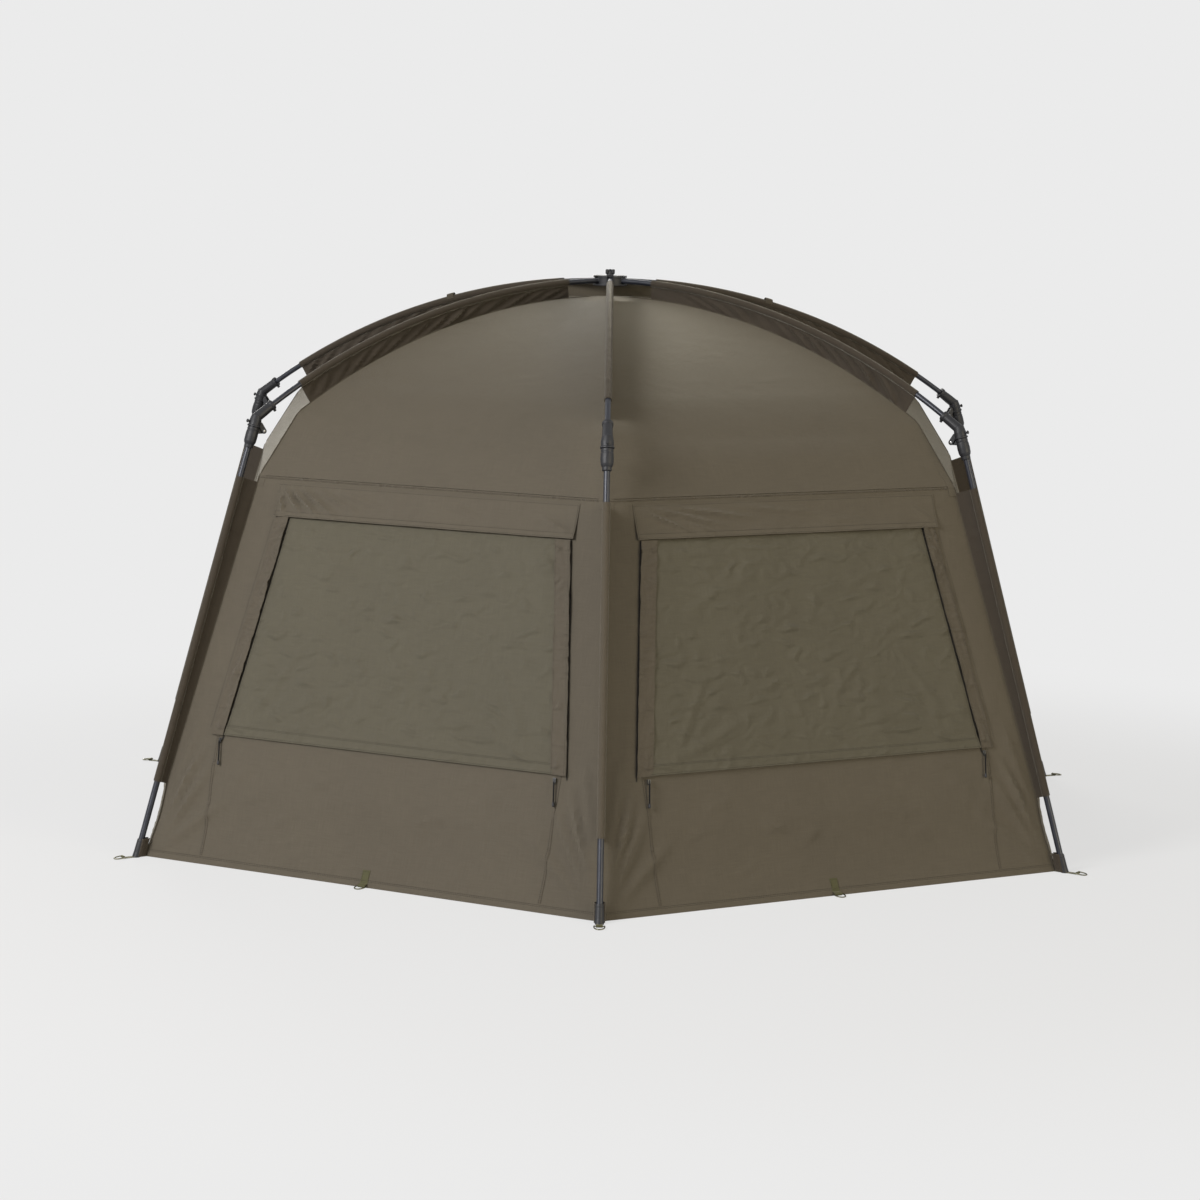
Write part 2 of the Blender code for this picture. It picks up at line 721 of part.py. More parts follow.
def sleeve_mesh(sections, name):
    bm = bmesh.new()
    skins = []
    for part_index in (0, 1):
        skins.append([[bm.verts.new(point) for point in section[part_index]] for section in sections])
    count = len(skins[0][0])
    for rings in skins:
        for near, far in zip(rings, rings[1:]):
            for i in range(count):
                j = (i + 1) % count
                bm.faces.new((near[i], near[j], far[j], far[i]))
    for end in (0, -1):
        for i in range(count):
            j = (i + 1) % count
            bm.faces.new((skins[0][end][i], skins[0][end][j], skins[1][end][j], skins[1][end][i]))
    return mesh_of(bm, name)


def ridge_point(distance):
    """The roof's ridge under a pole: an arc, then a straight run down to the wall seam."""
    if distance <= RIDGE_END_RADIUS:
        return on_arc(distance, *ridge_arc())
    end = ridge_point(RIDGE_END_RADIUS)
    return end.lerp(SEAM_POINT, (distance - RIDGE_END_RADIUS) / RIDGE_END_INSET)


def reach_to_arc(start, way, centre_height, radius):
    """How far a ray in the leg's plane runs before it meets an arc about the hub axis."""
    offset = start - Vector((0.0, centre_height))
    along = offset.dot(way)
    return -along - math.sqrt(along**2 - offset.length_squared + radius**2)


def sleeve_distances():
    """Distances from the hub axis of the upper sleeve's cross-sections."""
    span = UPPER_SLEEVE_END - UPPER_SLEEVE_START
    return [UPPER_SLEEVE_START + span * i / SLEEVE_STEPS for i in range(SLEEVE_STEPS + 1)]


def upper_sleeve_mesh():
    centre_height, radius = pole_arc()
    bore_radius = UPPER_POLE_DIAMETER / 2 + SLEEVE_GAP
    sections = []
    for i, distance in enumerate(sleeve_distances()):
        share = i / SLEEVE_STEPS
        point = on_arc(distance, centre_height, radius)
        way = (Vector((0.0, centre_height)) - point).normalized()
        reach = reach_to_arc(point, way, *ridge_arc())
        fold = FIN_FOLD * math.sin(math.tau * FIN_FOLDS * share) * math.sin(math.pi * share)
        sections.append(fin_section(leg_point(point), leg_axis(way), reach - GAP, fold, bore_radius))
    return sleeve_mesh(sections, "upper_sleeve")


def wall_corner(height):
    """The canopy's corner under a lower pole, between the hem and the seam."""
    return HEM_POINT.lerp(SEAM_POINT, height / SEAM_HEIGHT)


def lower_sleeve_mesh():
    bore_radius = LOWER_POLE_DIAMETER / 2 + SLEEVE_GAP
    corner_line = (wall_corner(SEAM_HEIGHT) - wall_corner(0.0)).normalized()
    corner_normal = Vector((corner_line.y, -corner_line.x))
    sections = []
    for height in (LOWER_SLEEVE_TOP, LOWER_SLEEVE_FOOT):
        along = (SPLIT_HEIGHT - height) / -DOWN_LEG.y
        point = SPLIT_POINT + DOWN_LEG * along
        away = (point - wall_corner(0.0)).dot(corner_normal)
        reach = away / OUT_OF_LEG.dot(corner_normal)
        inward = leg_axis(-OUT_OF_LEG)
        sections.append(fin_section(leg_point(point), inward, reach - GAP, 0.0, bore_radius))
    return sleeve_mesh(sections, "lower_sleeve")


# Roof: flat strips between the five ridges, closed by a shallow top


def ridge_rows():
    step = (RIDGE_END_RADIUS - RIDGE_START_RADIUS) / RIDGE_STEPS
    rows = [ridge_point(RIDGE_START_RADIUS + step * i) for i in range(RIDGE_STEPS + 1)]
    rows.append(SEAM_POINT)
    return rows


def roof_inner_rows(rows):
    """The rows moved inward by the fabric, with the last one kept at the seam's height."""
    inner = []
    for i, point in enumerate(rows[:-1]):
        along = (rows[i + 1] - rows[max(i - 1, 0)]).normalized()
        inward = Vector((along.y, -along.x))
        inner.append(point + inward * (FABRIC if inward.y < 0 else -FABRIC))
    inner.append(rows[-1] - Vector((FABRIC / math.cos(MIDDLE_LEG_ANGLE / 2), 0.0)))
    return inner


def build_roof(frame):
    bm = bmesh.new()
    rows = ridge_rows()
    skins = []
    roof_top = PIN_HEIGHT - ROOF_TOP_DROP
    levels = ((rows, roof_top), (roof_inner_rows(rows), roof_top - FABRIC))
    turns = [Matrix.Rotation(LEGS[leg], 3, "Z") for leg in LEGS_IN_ORDER]
    for level_rows, top in levels:
        centre = bm.verts.new((0.0, 0.0, top))
        rings = [[bm.verts.new(turn @ leg_point(point)) for turn in turns] for point in level_rows]
        skins.append(rings)
        for i in range(len(LEGS_IN_ORDER)):
            j = (i + 1) % len(LEGS_IN_ORDER)
            bm.faces.new((centre, rings[0][i], rings[0][j]))
            for near, far in zip(rings, rings[1:]):
                bm.faces.new((near[i], near[j], far[j], far[i]))
    for i in range(len(LEGS_IN_ORDER)):
        j = (i + 1) % len(LEGS_IN_ORDER)
        bm.faces.new((skins[0][-1][i], skins[0][-1][j], skins[1][-1][j], skins[1][-1][i]))
    add_object("canopy_roof", mesh_of(bm, "canopy_roof"), frame, Vector(), "canopy")


# Walls, windows and door. A wall's own frame has X along the wall and -Y outwards.

WALL_GAP = 0.0002
RELIEF = 0.0026
FLAP_MARGIN = 0.076
FLAP_TOP_DROP = 0.014
FLAP_TOP = SEAM_HEIGHT - FLAP_TOP_DROP
FLAP_DEPTH = 0.076
FLAP_FOOT = FLAP_TOP - FLAP_DEPTH
COVER_MARGIN = 0.1195
COVER_TOP_GAP = 0.0015
COVER_TOP = FLAP_FOOT - COVER_TOP_GAP
COVER_FOOT = 0.286
COVER_FABRIC = 0.0014
COVER_FOLD = 0.0045
COVER_COLUMNS = 14
COVER_ROWS = 8
FOLD_WAVES = 3
FOLD_SLANT_SHARE = 0.8
FLAT_EDGE_POWER = 8
STRIP_WIDTH = 0.034
STRIP_GAP = 0.0015
STRIP_FOOT = 0.262
NET_MARGIN = 0.022
NET_RECESS = 0.0012
SLIDER_WIDTH = 0.008
SLIDER_LENGTH = 0.013
SLIDER_HEIGHT = 0.0045
SLIDER_REST = 0.0125
PULL_RADIUS = 0.0018
PULL_LENGTH = 0.052
PULL_END_RADIUS = 0.0030
PULL_END_LENGTH = 0.008
DOOR_TOP_HALF = 0.300
DOOR_FOOT_HALF = 0.430
DOOR_TOP_DROP = 0.080
DOOR_TOP = SEAM_HEIGHT - DOOR_TOP_DROP
DOOR_GAP = 0.0010
DOOR_SLIDER_REST = 0.030
TAB_WALLS = ("rear_left", "rear_right")

# Half the angle that each wall spans, and each wall's middle angle and half span
REAR_HALF = MIDDLE_LEG_ANGLE / 2
SIDE_HALF = (FRONT_LEG_ANGLE - MIDDLE_LEG_ANGLE) / 2
WALLS = {
    "rear_left": (-REAR_HALF, REAR_HALF),
    "rear_right": (REAR_HALF, REAR_HALF),
    "side_left": (-MIDDLE_LEG_ANGLE - SIDE_HALF, SIDE_HALF),
    "side_right": (MIDDLE_LEG_ANGLE + SIDE_HALF, SIDE_HALF),
    "front": (math.pi, math.pi - FRONT_LEG_ANGLE),
}


def wall_distance(half, height, depth):
    return wall_corner(height).x * math.cos(half) - depth


def wall_point(half, s, height, depth):
    """A point s along the wall at a height, moved inward by depth."""
    return Vector((s, -wall_distance(half, height, depth), height))


def wall_slab(half, outline, outer, inner, name):
    loops = [[wall_point(half, s, height, depth) for s, height in outline] for depth in (outer, inner)]
    return block(loops[0], loops[1], name)


def wall_sheet(half, name):
    """The whole wall panel, mitred at the legs so that neighbours meet with a gap."""
    loops = []
    for depth in (0.0, FABRIC):
        loop = []
        for height, side in ((0.0, -1), (0.0, 1), (SEAM_HEIGHT - GAP, 1), (SEAM_HEIGHT - GAP, -1)):
            width = wall_distance(half, height, depth) * math.tan(half) - WALL_GAP
            loop.append(wall_point(half, side * width, height, depth))
        loops.append(loop)
    return block(loops[0], loops[1], name)


def cover_edge(height):
    """Half the window cover's width, which keeps a margin from the rear walls' corners."""
    return wall_distance(REAR_HALF, height, 0.0) * math.tan(REAR_HALF) - COVER_MARGIN


def side_strip(half, side, edge_at, foot, top):
    near = [(side * (edge_at(height) + STRIP_GAP), height) for height in (foot, top)]
    far = [(s + side * STRIP_WIDTH, height) for s, height in reversed(near)]
    return wall_slab(half, near + far, -RELIEF, FABRIC / 2, "strip")


def hem_loop(half):
    """The webbing tab on the hem's middle, its loop and strap, and the bore through them."""
    centre = Vector((wall_distance(half, 0.0, 0.0) + HEM_LOOP_REACH, LOOP_RADIUS))
    tube, bore = ring_loop(centre, "hem_loop")
    edge = TAB_WIDTH / 2
    outline = [(-edge, LOOP_RADIUS), (edge, LOOP_RADIUS), (edge, TAB_HEIGHT), (-edge, TAB_HEIGHT)]
    tab = wall_slab(half, outline, -TAB_THICKNESS, FABRIC / 2, "tab")
    edge = LOOP_LENGTH / 2 - GAP
    low, high = (LOOP_RADIUS * share for share in STRAP_HEIGHT_SHARES)
    outline = [(-edge, low), (edge, low), (edge, high), (-edge, high)]
    strap = wall_slab(half, outline, -HEM_LOOP_REACH, FABRIC / 2, "strap")
    return [tube, tab, strap], bore, centre


def window_wall_mesh(half):
    edge = wall_distance(half, FLAP_FOOT, 0.0) * math.tan(half) - FLAP_MARGIN
    flap_outline = [(-edge, FLAP_FOOT), (edge, FLAP_FOOT), (edge, FLAP_TOP), (-edge, FLAP_TOP)]
    flap = wall_slab(half, flap_outline, -RELIEF, FABRIC / 2, "flap")
    strip_top = FLAP_FOOT + OVERRUN
    strips = [side_strip(half, side, cover_edge, STRIP_FOOT, strip_top) for side in (-1, 1)]
    parts, bore, centre = hem_loop(half)
    net_top = COVER_TOP - NET_MARGIN
    net_foot = COVER_FOOT + NET_MARGIN
    net = wall_slab(
        half,
        [
            (-cover_edge(net_foot) + NET_MARGIN, net_foot),
            (cover_edge(net_foot) - NET_MARGIN, net_foot),
            (cover_edge(net_top) - NET_MARGIN, net_top),
            (-cover_edge(net_top) + NET_MARGIN, net_top),
        ],
        -GAP,
        NET_RECESS,
        "net",
    )
    body = united(wall_sheet(half, "wall"), [flap, *strips, *parts])
    return cut(body, [net, bore])


def cover_mesh(half):
    """A window cover with the soft folds that pull from its lower corners."""
    bm = bmesh.new()
    layers = []
    for lift in (GAP, GAP + COVER_FABRIC):
        grid = []
        for row in range(COVER_ROWS + 1):
            v = row / COVER_ROWS
            height = COVER_FOOT + (COVER_TOP - COVER_FOOT) * v
            line = []
            for column in range(COVER_COLUMNS + 1):
                u = 2 * column / COVER_COLUMNS - 1
                inside = (1 - u**FLAT_EDGE_POWER) * math.sin(math.pi * v)
                waves = math.cos(FOLD_WAVES * math.pi * (abs(u) + FOLD_SLANT_SHARE * v))
                depth = -lift - COVER_FOLD * inside * (1 + waves) / 2
                line.append(bm.verts.new(wall_point(half, u * cover_edge(height), height, depth)))
            grid.append(line)
        layers.append(grid)
    for grid in layers:
        for low, high in zip(grid, grid[1:]):
            for i in range(COVER_COLUMNS):
                bm.faces.new((low[i], low[i + 1], high[i + 1], high[i]))
    edges = []
    for grid in layers:
        edge = grid[0] + [line[-1] for line in grid[1:]] + grid[-1][-2::-1]
        edge += [line[0] for line in grid[-2:0:-1]]
        edges.append(edge)
    count = len(edges[0])
    for i in range(count):
        j = (i + 1) % count
        bm.faces.new((edges[0][i], edges[0][j], edges[1][j], edges[1][i]))
    return mesh_of(bm, "window_cover")


def slider_frame(half, side, edge_at, height):
    """The place and the upward way of a slider on a strip beside a zip."""
    def on_strip(level):
        s = side * (edge_at(level) + STRIP_GAP + SLIDER_WIDTH / 2 + GAP)
        return wall_point(half, s, level, -RELIEF)

    start = on_strip(height)
    up = (on_strip(height + SLIDER_LENGTH) - start).normalized()
    return start, up


def slider_mesh(half, side, edge_at, height, name):
    start, up = slider_frame(half, side, edge_at, height)
    level = Vector((1.0, 0.0, 0.0))
    out = up.cross(level).normalized()
    if out.y > 0:
        out = -out
    across = out.cross(up).normalized()
    foot = start + out * GAP
    wide = across * (SLIDER_WIDTH / 2)
    long = up * (SLIDER_LENGTH / 2)
    outline = [foot - wide - long, foot + wide - long, foot + wide + long, foot - wide + long]
    body = block(outline, [corner + out * SLIDER_HEIGHT for corner in outline], name)
    top = foot + out * (SLIDER_HEIGHT / 2) - up * (SLIDER_LENGTH / 4)
    clear = out * PULL_RADIUS
    end_top = top + clear - up * PULL_LENGTH
    cord = rod(top + clear, end_top, PULL_RADIUS, SIDES_RING, "pull")
    end_foot = end_top - up * PULL_RADIUS
    end = rod(end_top + up * PULL_END_LENGTH, end_foot, PULL_END_RADIUS, SIDES_RING, "pull_end")
    return united(body, [cord, end]), start


def door_edge(height):
    return DOOR_FOOT_HALF + (DOOR_TOP_HALF - DOOR_FOOT_HALF) * height / DOOR_TOP


def front_wall_mesh(half):
    doorway = wall_slab(
        half,
        [
            (-door_edge(-OVERRUN), -OVERRUN),
            (door_edge(-OVERRUN), -OVERRUN),
            (DOOR_TOP_HALF, DOOR_TOP),
            (-DOOR_TOP_HALF, DOOR_TOP),
        ],
        -OVERRUN,
        FABRIC + OVERRUN,
        "doorway",
    )
    strips = [side_strip(half, side, door_edge, 0.0, DOOR_TOP) for side in (-1, 1)]
    return cut(united(wall_sheet(half, "wall"), strips), [doorway])


def door_mesh(half):
    top = DOOR_TOP - DOOR_GAP
    outline = [
        (-door_edge(0.0) + DOOR_GAP, 0.0),
        (door_edge(0.0) - DOOR_GAP, 0.0),
        (door_edge(top) - DOOR_GAP, top),
        (-door_edge(top) + DOOR_GAP, top),
    ]
    return wall_slab(half, outline, 0.0, FABRIC, "door")


def build_wall(key, frame):
    half = WALLS[key][1]
    finish = "canopy_side" if "right" in key else "canopy"
    name = f"wall_{key}"
    if key in TAB_WALLS:
        add_object(name, window_wall_mesh(half), frame, Vector(), finish)
        hinge = wall_point(half, 0.0, COVER_TOP, -GAP - COVER_FABRIC)
        cover = moved_to_origin(cover_mesh(half), hinge)
        add_object(f"window_cover_{key}", cover, frame, hinge, "cover")
        for side, word in ((-1, "a"), (1, "b")):
            height = COVER_FOOT - SLIDER_REST
            mesh, start = slider_mesh(half, side, cover_edge, height, "slider")
            add_object(f"zip_slider_{key}_{word}", moved_to_origin(mesh, start), frame, start, "zip")
        centre = leg_point(hem_loop(half)[2])
        add_object(f"peg_ring_{key}", ring_mesh(LOOP_RADIUS), frame, centre, "ring")
    elif key == "front":
        add_object(name, front_wall_mesh(half), frame, Vector(), finish)
        hinge = wall_point(half, 0.0, DOOR_TOP - DOOR_GAP, 0.0)
        add_object("door", moved_to_origin(door_mesh(half), hinge), frame, hinge, "canopy")
        for side, word in ((-1, "a"), (1, "b")):
            height = PULL_LENGTH + DOOR_SLIDER_REST
            mesh, start = slider_mesh(half, side, door_edge, height, "slider")
            add_object(f"door_slider_{word}", moved_to_origin(mesh, start), frame, start, "zip")
    else:
        add_object(name, wall_sheet(half, "wall"), frame, Vector(), finish)


# Legs


def build_legs():
    pin = leg_point(PIN_POINT)
    hinge = leg_point(elbow_hinge())
    centre, out = button_line()
    button = leg_point(centre)
    ring_bar = leg_point(foot_loop_centre())
    pieces = {
        "upper_pole": (moved_to_origin(upper_pole_mesh(), pin), pin, "pole"),
        "elbow_upper": (moved_to_origin(elbow_upper_mesh(), pin), pin, "plastic"),
        "upper_sleeve": (moved_to_origin(upper_sleeve_mesh(), pin), pin, "sleeve"),
        "elbow_lower": (moved_to_origin(elbow_lower_mesh(), hinge), hinge, "plastic"),
        "lower_pole": (moved_to_origin(lower_pole_mesh(), hinge), hinge, "pole"),
        "lower_sleeve": (moved_to_origin(lower_sleeve_mesh(), hinge), hinge, "sleeve"),
        "release_button": (moved_to_origin(button_mesh(), button), button, "plastic"),
        "peg_ring": (ring_mesh(LOOP_RADIUS), ring_bar, "ring"),
    }
    for leg, angle in LEGS.items():
        frame = empty_frame(f"frame_{leg}", angle)
        for piece, (mesh, origin, finish) in pieces.items():
            add_object(f"{piece}_{leg}", mesh, frame, origin, finish)


clear_scene()
hub_frame = empty_frame("frame_hub", 0.0)
build_hub(hub_frame)
build_legs()
build_roof(hub_frame)
for wall_key, (wall_angle, wall_half) in WALLS.items():
    build_wall(wall_key, empty_frame(f"frame_wall_{wall_key}", wall_angle))
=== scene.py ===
import json
import math

import bmesh
import bpy
from mathutils import Matrix, Vector, noise

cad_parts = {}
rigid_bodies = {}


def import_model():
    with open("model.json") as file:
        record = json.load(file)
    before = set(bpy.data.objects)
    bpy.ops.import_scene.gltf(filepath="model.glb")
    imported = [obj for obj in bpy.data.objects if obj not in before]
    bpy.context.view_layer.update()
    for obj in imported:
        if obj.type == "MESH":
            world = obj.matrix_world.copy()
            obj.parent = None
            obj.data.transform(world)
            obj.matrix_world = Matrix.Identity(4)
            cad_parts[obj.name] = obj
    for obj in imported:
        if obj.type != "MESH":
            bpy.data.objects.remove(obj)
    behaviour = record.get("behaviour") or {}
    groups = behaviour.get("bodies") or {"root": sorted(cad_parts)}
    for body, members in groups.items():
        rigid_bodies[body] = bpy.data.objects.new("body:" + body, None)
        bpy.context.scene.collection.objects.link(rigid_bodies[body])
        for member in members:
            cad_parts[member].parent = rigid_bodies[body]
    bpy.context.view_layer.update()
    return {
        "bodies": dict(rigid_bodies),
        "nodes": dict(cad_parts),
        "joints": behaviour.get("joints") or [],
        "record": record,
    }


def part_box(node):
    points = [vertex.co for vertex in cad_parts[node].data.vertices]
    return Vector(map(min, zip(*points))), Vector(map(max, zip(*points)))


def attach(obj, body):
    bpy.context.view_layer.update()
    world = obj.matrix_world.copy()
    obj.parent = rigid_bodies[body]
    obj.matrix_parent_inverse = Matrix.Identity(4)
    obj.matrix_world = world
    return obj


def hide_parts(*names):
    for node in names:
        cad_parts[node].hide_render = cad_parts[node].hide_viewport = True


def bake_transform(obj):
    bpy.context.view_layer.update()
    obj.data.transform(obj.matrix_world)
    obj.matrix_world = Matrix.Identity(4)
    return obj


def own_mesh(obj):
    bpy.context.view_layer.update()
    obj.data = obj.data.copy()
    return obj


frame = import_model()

print("frame loaded:", len(frame["nodes"]), "nodes")

# Setting-out lines of the shelter, in metres: distance from the hub axis, then height
shelter = {
    "pin": Vector((0.032, 1.317)),
    "split": Vector((0.978, 0.982)),
    "foot": Vector((1.276, 0.0)),
    "hem": Vector((1.256, 0.0)),
    "seam": Vector((0.962, 0.870)),
    "ridgeStart": 0.117,
    "ridgeEnd": 0.862,
    "roofTop": 1.279,
    "freeEdge": 0.172,  # below this height the canopy's corner hangs free of the sleeve
    "freeDip": 0.008,
    "elbowRise": 0.023,
    "finStart": 0.0388,  # depth of the fins at both ends of the ridge
    "finEnd": 0.0630,
    "softSpan": 0.10,  # over this length the cloth runs softer than its ridges
    "edgeTrim": 0.0004,
}
midAngle = math.radians(56.76)
frontAngle = math.radians(112.07)
legs = {
    "rear": 0.0,
    "mid_left": -midAngle,
    "mid_right": midAngle,
    "front_left": -frontAngle,
    "front_right": frontAngle,
}
# Each panel's middle angle, half its angle, and the leg on its +X side, which carries it
panels = {
    "rear_left": (-midAngle / 2, midAngle / 2, "rear"),
    "rear_right": (midAngle / 2, midAngle / 2, "mid_right"),
    "side_left": (-(midAngle + frontAngle) / 2, (frontAngle - midAngle) / 2, "mid_left"),
    "side_right": ((midAngle + frontAngle) / 2, (frontAngle - midAngle) / 2, "front_right"),
    "front": (math.pi, math.pi - frontAngle, "front_left"),
}
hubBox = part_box("hub_base")
hubY = (hubBox[0][1] + hubBox[1][1]) / 2
xWay = Vector((1.0, 0.0, 0.0))
upWay = Vector((0.0, 0.0, 1.0))
seamTop = shelter["seam"].y


def place(angle):
    return Matrix.Translation((0.0, hubY, 0.0)) @ Matrix.Rotation(angle, 4, "Z")


def inLeg(point, side=0.0):
    return Vector((side, -point.x, point.y))  # a leg's own frame runs out along -Y


def legWay(way):
    return Vector((0.0, -way.x, way.y))


def arcThrough(first, second):
    centre = (first.length_squared - second.length_squared) / (2 * (first.y - second.y))
    return centre, math.hypot(first.x, first.y - centre)


def onArc(distance, arc):
    return Vector((distance, arc[0] + math.sqrt(arc[1] ** 2 - distance ** 2)))


downLeg = (shelter["foot"] - shelter["split"]).normalized()
outOfLeg = Vector((-downLeg.y, downLeg.x))
elbowCorner = shelter["split"] - downLeg * shelter["elbowRise"]
poleArc = arcThrough(shelter["pin"], elbowCorner)
ridgeArc = arcThrough(
    onArc(shelter["ridgeStart"], poleArc) - Vector((0.0, shelter["finStart"])),
    onArc(shelter["ridgeEnd"], poleArc) - Vector((0.0, shelter["finEnd"])),
)


def ridgePoint(distance):
    start, end = shelter["ridgeStart"], shelter["ridgeEnd"]
    if distance < start:  # the shallow top under the hub
        edge = onArc(start, ridgeArc).y
        return Vector((distance, edge + (shelter["roofTop"] - edge) * (1 - (distance / start) ** 2)))
    if distance <= end:
        return onArc(distance, ridgeArc)
    return onArc(end, ridgeArc).lerp(shelter["seam"], (distance - end) / (shelter["seam"].x - end))


def roofPoint(distance, share):
    span = min(shelter["softSpan"], distance - 0.001, shelter["seam"].x - distance)
    soft = Vector((0.0, 0.0))
    for k in range(-4, 5):
        soft += ridgePoint(distance + span * k / 4) / 9
    return ridgePoint(distance).lerp(soft, share)


def wallCorner(height):
    point = shelter["hem"].lerp(shelter["seam"], height / seamTop)
    if 0 < height < shelter["freeEdge"]:
        point.x -= shelter["freeDip"] * math.sin(math.pi * height / shelter["freeEdge"])
    return point


# Shapes
def spread(*stops):  # value, count, value, count, value
    values = [stops[0]]
    for i in range(1, len(stops), 2):
        count, end, start = stops[i], stops[i + 1], values[-1]
        values += [start + (end - start) * (k + 1) / count for k in range(count)]
    return values


class Shape:
    def __init__(self):
        self.points, self.faces, self.uvs = [], [], []

    def add(self, points, faces, uvs=None):
        base = len(self.points)
        self.points += [Vector(p) for p in points]
        self.faces += [tuple(i + base for i in face) for face in faces]
        self.uvs += list(uvs) if uvs else [(p[0] + p[1], p[2]) for p in points]


def makePiece(name, shape, finish, body, nodes=(), slot=None, where=None, bevel=0.0, sharp=40.0):
    mesh = bpy.data.meshes.new(name)
    points = [where @ p for p in shape.points] if where else shape.points
    mesh.from_pydata([tuple(p) for p in points], [], shape.faces)
    layer = mesh.uv_layers.new(name="UVMap")
    for loop in mesh.loops:
        layer.data[loop.index].uv = shape.uvs[loop.vertex_index]
    bm = bmesh.new()
    bm.from_mesh(mesh)
    bmesh.ops.delete(bm, geom=[v for v in bm.verts if not v.link_faces], context="VERTS")
    bmesh.ops.recalc_face_normals(bm, faces=bm.faces)
    bm.to_mesh(mesh)
    bm.free()
    mesh.materials.append(material[finish])
    mesh.shade_smooth()
    mesh.set_sharp_from_angle(angle=math.radians(sharp))
    obj = bpy.data.objects.new(name, mesh)
    bpy.context.scene.collection.objects.link(obj)
    if bevel:
        edge = obj.modifiers.new("edges", "BEVEL")
        edge.width = bevel
        edge.segments = 2
        edge.limit_method = "ANGLE"
        edge.angle_limit = math.radians(50)
        edge.harden_normals = True
    if body:
        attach(obj, body)
    if nodes:
        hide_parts(*nodes)
    return obj


def loops(shape, rings, closed=False, capped=True):
    count = len(rings[0])
    faces = []
    for k in range(len(rings) if closed else len(rings) - 1):
        near, far = k * count, ((k + 1) % len(rings)) * count
        for i in range(count):
            j = (i + 1) % count
            faces.append((near + i, near + j, far + j, far + i))
    if capped and not closed:
        faces.append(tuple(range(count))[::-1])
        faces.append(tuple(range((len(rings) - 1) * count, len(rings) * count)))
    uvs, along = [], 0.0
    for k, ring in enumerate(rings):
        if k:
            along += (ring[0] - rings[k - 1][0]).length
        around = 0.0
        for i, point in enumerate(ring):
            if i:
                around += (point - ring[i - 1]).length
            uvs.append((around, along))
    shape.add([p for ring in rings for p in ring], faces, uvs)


def circle(centre, first, second, radius, sides):
    turn = math.tau / sides
    return [
        centre + first * (radius * math.cos(turn * i)) + second * (radius * math.sin(turn * i))
        for i in range(sides)
    ]


def fillet(profile, radius, steps=3):
    out = [profile[0]]
    for before, here, after in zip(profile, profile[1:], profile[2:]):
        a, b, c = Vector(before), Vector(here), Vector(after)
        reach = min(radius, (a - b).length * 0.45, (c - b).length * 0.45)
        start = b + (a - b).normalized() * reach
        end = b + (c - b).normalized() * reach
        for k in range(steps + 1):
            t = k / steps
            out.append(tuple(start * (1 - t) ** 2 + b * (2 * t * (1 - t)) + end * t ** 2))
    out.append(profile[-1])
    return out


def lathe(shape, profile, start, axis, sides=40, swell=None):
    axis = axis.normalized()  # the profile holds (radius, distance along the axis)
    first = axis.orthogonal().normalized()
    second = axis.cross(first)
    rings = []
    for radius, step in profile:
        ring = []
        for i in range(sides):
            turn = math.tau * i / sides
            r = max(radius + (swell(turn, step) if swell and radius else 0.0), 0.00005)
            ring.append(start + axis * step + first * (r * math.cos(turn)) + second * (r * math.sin(turn)))
        rings.append(ring)
    loops(shape, rings)


def tube(shape, path, radius, sides=12, normal=None, closed=False):
    rings, side, last = [], normal, len(path) - 1
    for i, point in enumerate(path):
        before = path[i - 1] if i > 0 or closed else path[i]
        after = path[(i + 1) % len(path)] if i < last or closed else path[i]
        along = (after - before).normalized()
        if side is None:
            side = along.orthogonal()
        first = (side - along * side.dot(along)).normalized()
        if normal is None:
            side = first
        r = radius[i] if isinstance(radius, list) else radius
        rings.append(circle(point, first, along.cross(first), r, sides))
    loops(shape, rings, closed)


def plate(shape, outline, low, high):
    loops(shape, [[inLeg(p, side) for p in outline] for side in (low, high)])


def cloth(shape, us, vs, at, thickness, keep=None, uvAt=None):
    columns, rows = len(us), len(vs)  # a closed thin sheet whose outer face is at(u, v)
    outer = [[at(u, v) for u in us] for v in vs]
    inner = []
    for j in range(rows):
        line = []
        for i in range(columns):
            du = outer[j][min(i + 1, columns - 1)] - outer[j][max(i - 1, 0)]
            dv = outer[min(j + 1, rows - 1)][i] - outer[max(j - 1, 0)][i]
            normal = du.cross(dv)
            normal = normal.normalized() if normal.length > 1e-12 else upWay
            line.append(outer[j][i] - normal * thickness)
        inner.append(line)
    points = [p for line in outer for p in line] + [p for line in inner for p in line]
    half = columns * rows
    faces, rims = [], set()
    for j in range(rows - 1):
        for i in range(columns - 1):
            if keep and not keep((us[i] + us[i + 1]) / 2, (vs[j] + vs[j + 1]) / 2):
                continue
            loop = [j * columns + i, j * columns + i + 1, (j + 1) * columns + i + 1, (j + 1) * columns + i]
            faces.append(tuple(loop))
            faces.append(tuple(half + k for k in reversed(loop)))
            for a, b in zip(loop, loop[1:] + loop[:1]):
                if (b, a) in rims:
                    rims.remove((b, a))
                else:
                    rims.add((a, b))
    faces += [(b, a, a + half, b + half) for a, b in sorted(rims)]
    uvs = [(uvAt(u, v) if uvAt else (u, v)) for v in vs for u in us] * 2
    shape.add(points, faces, uvs)


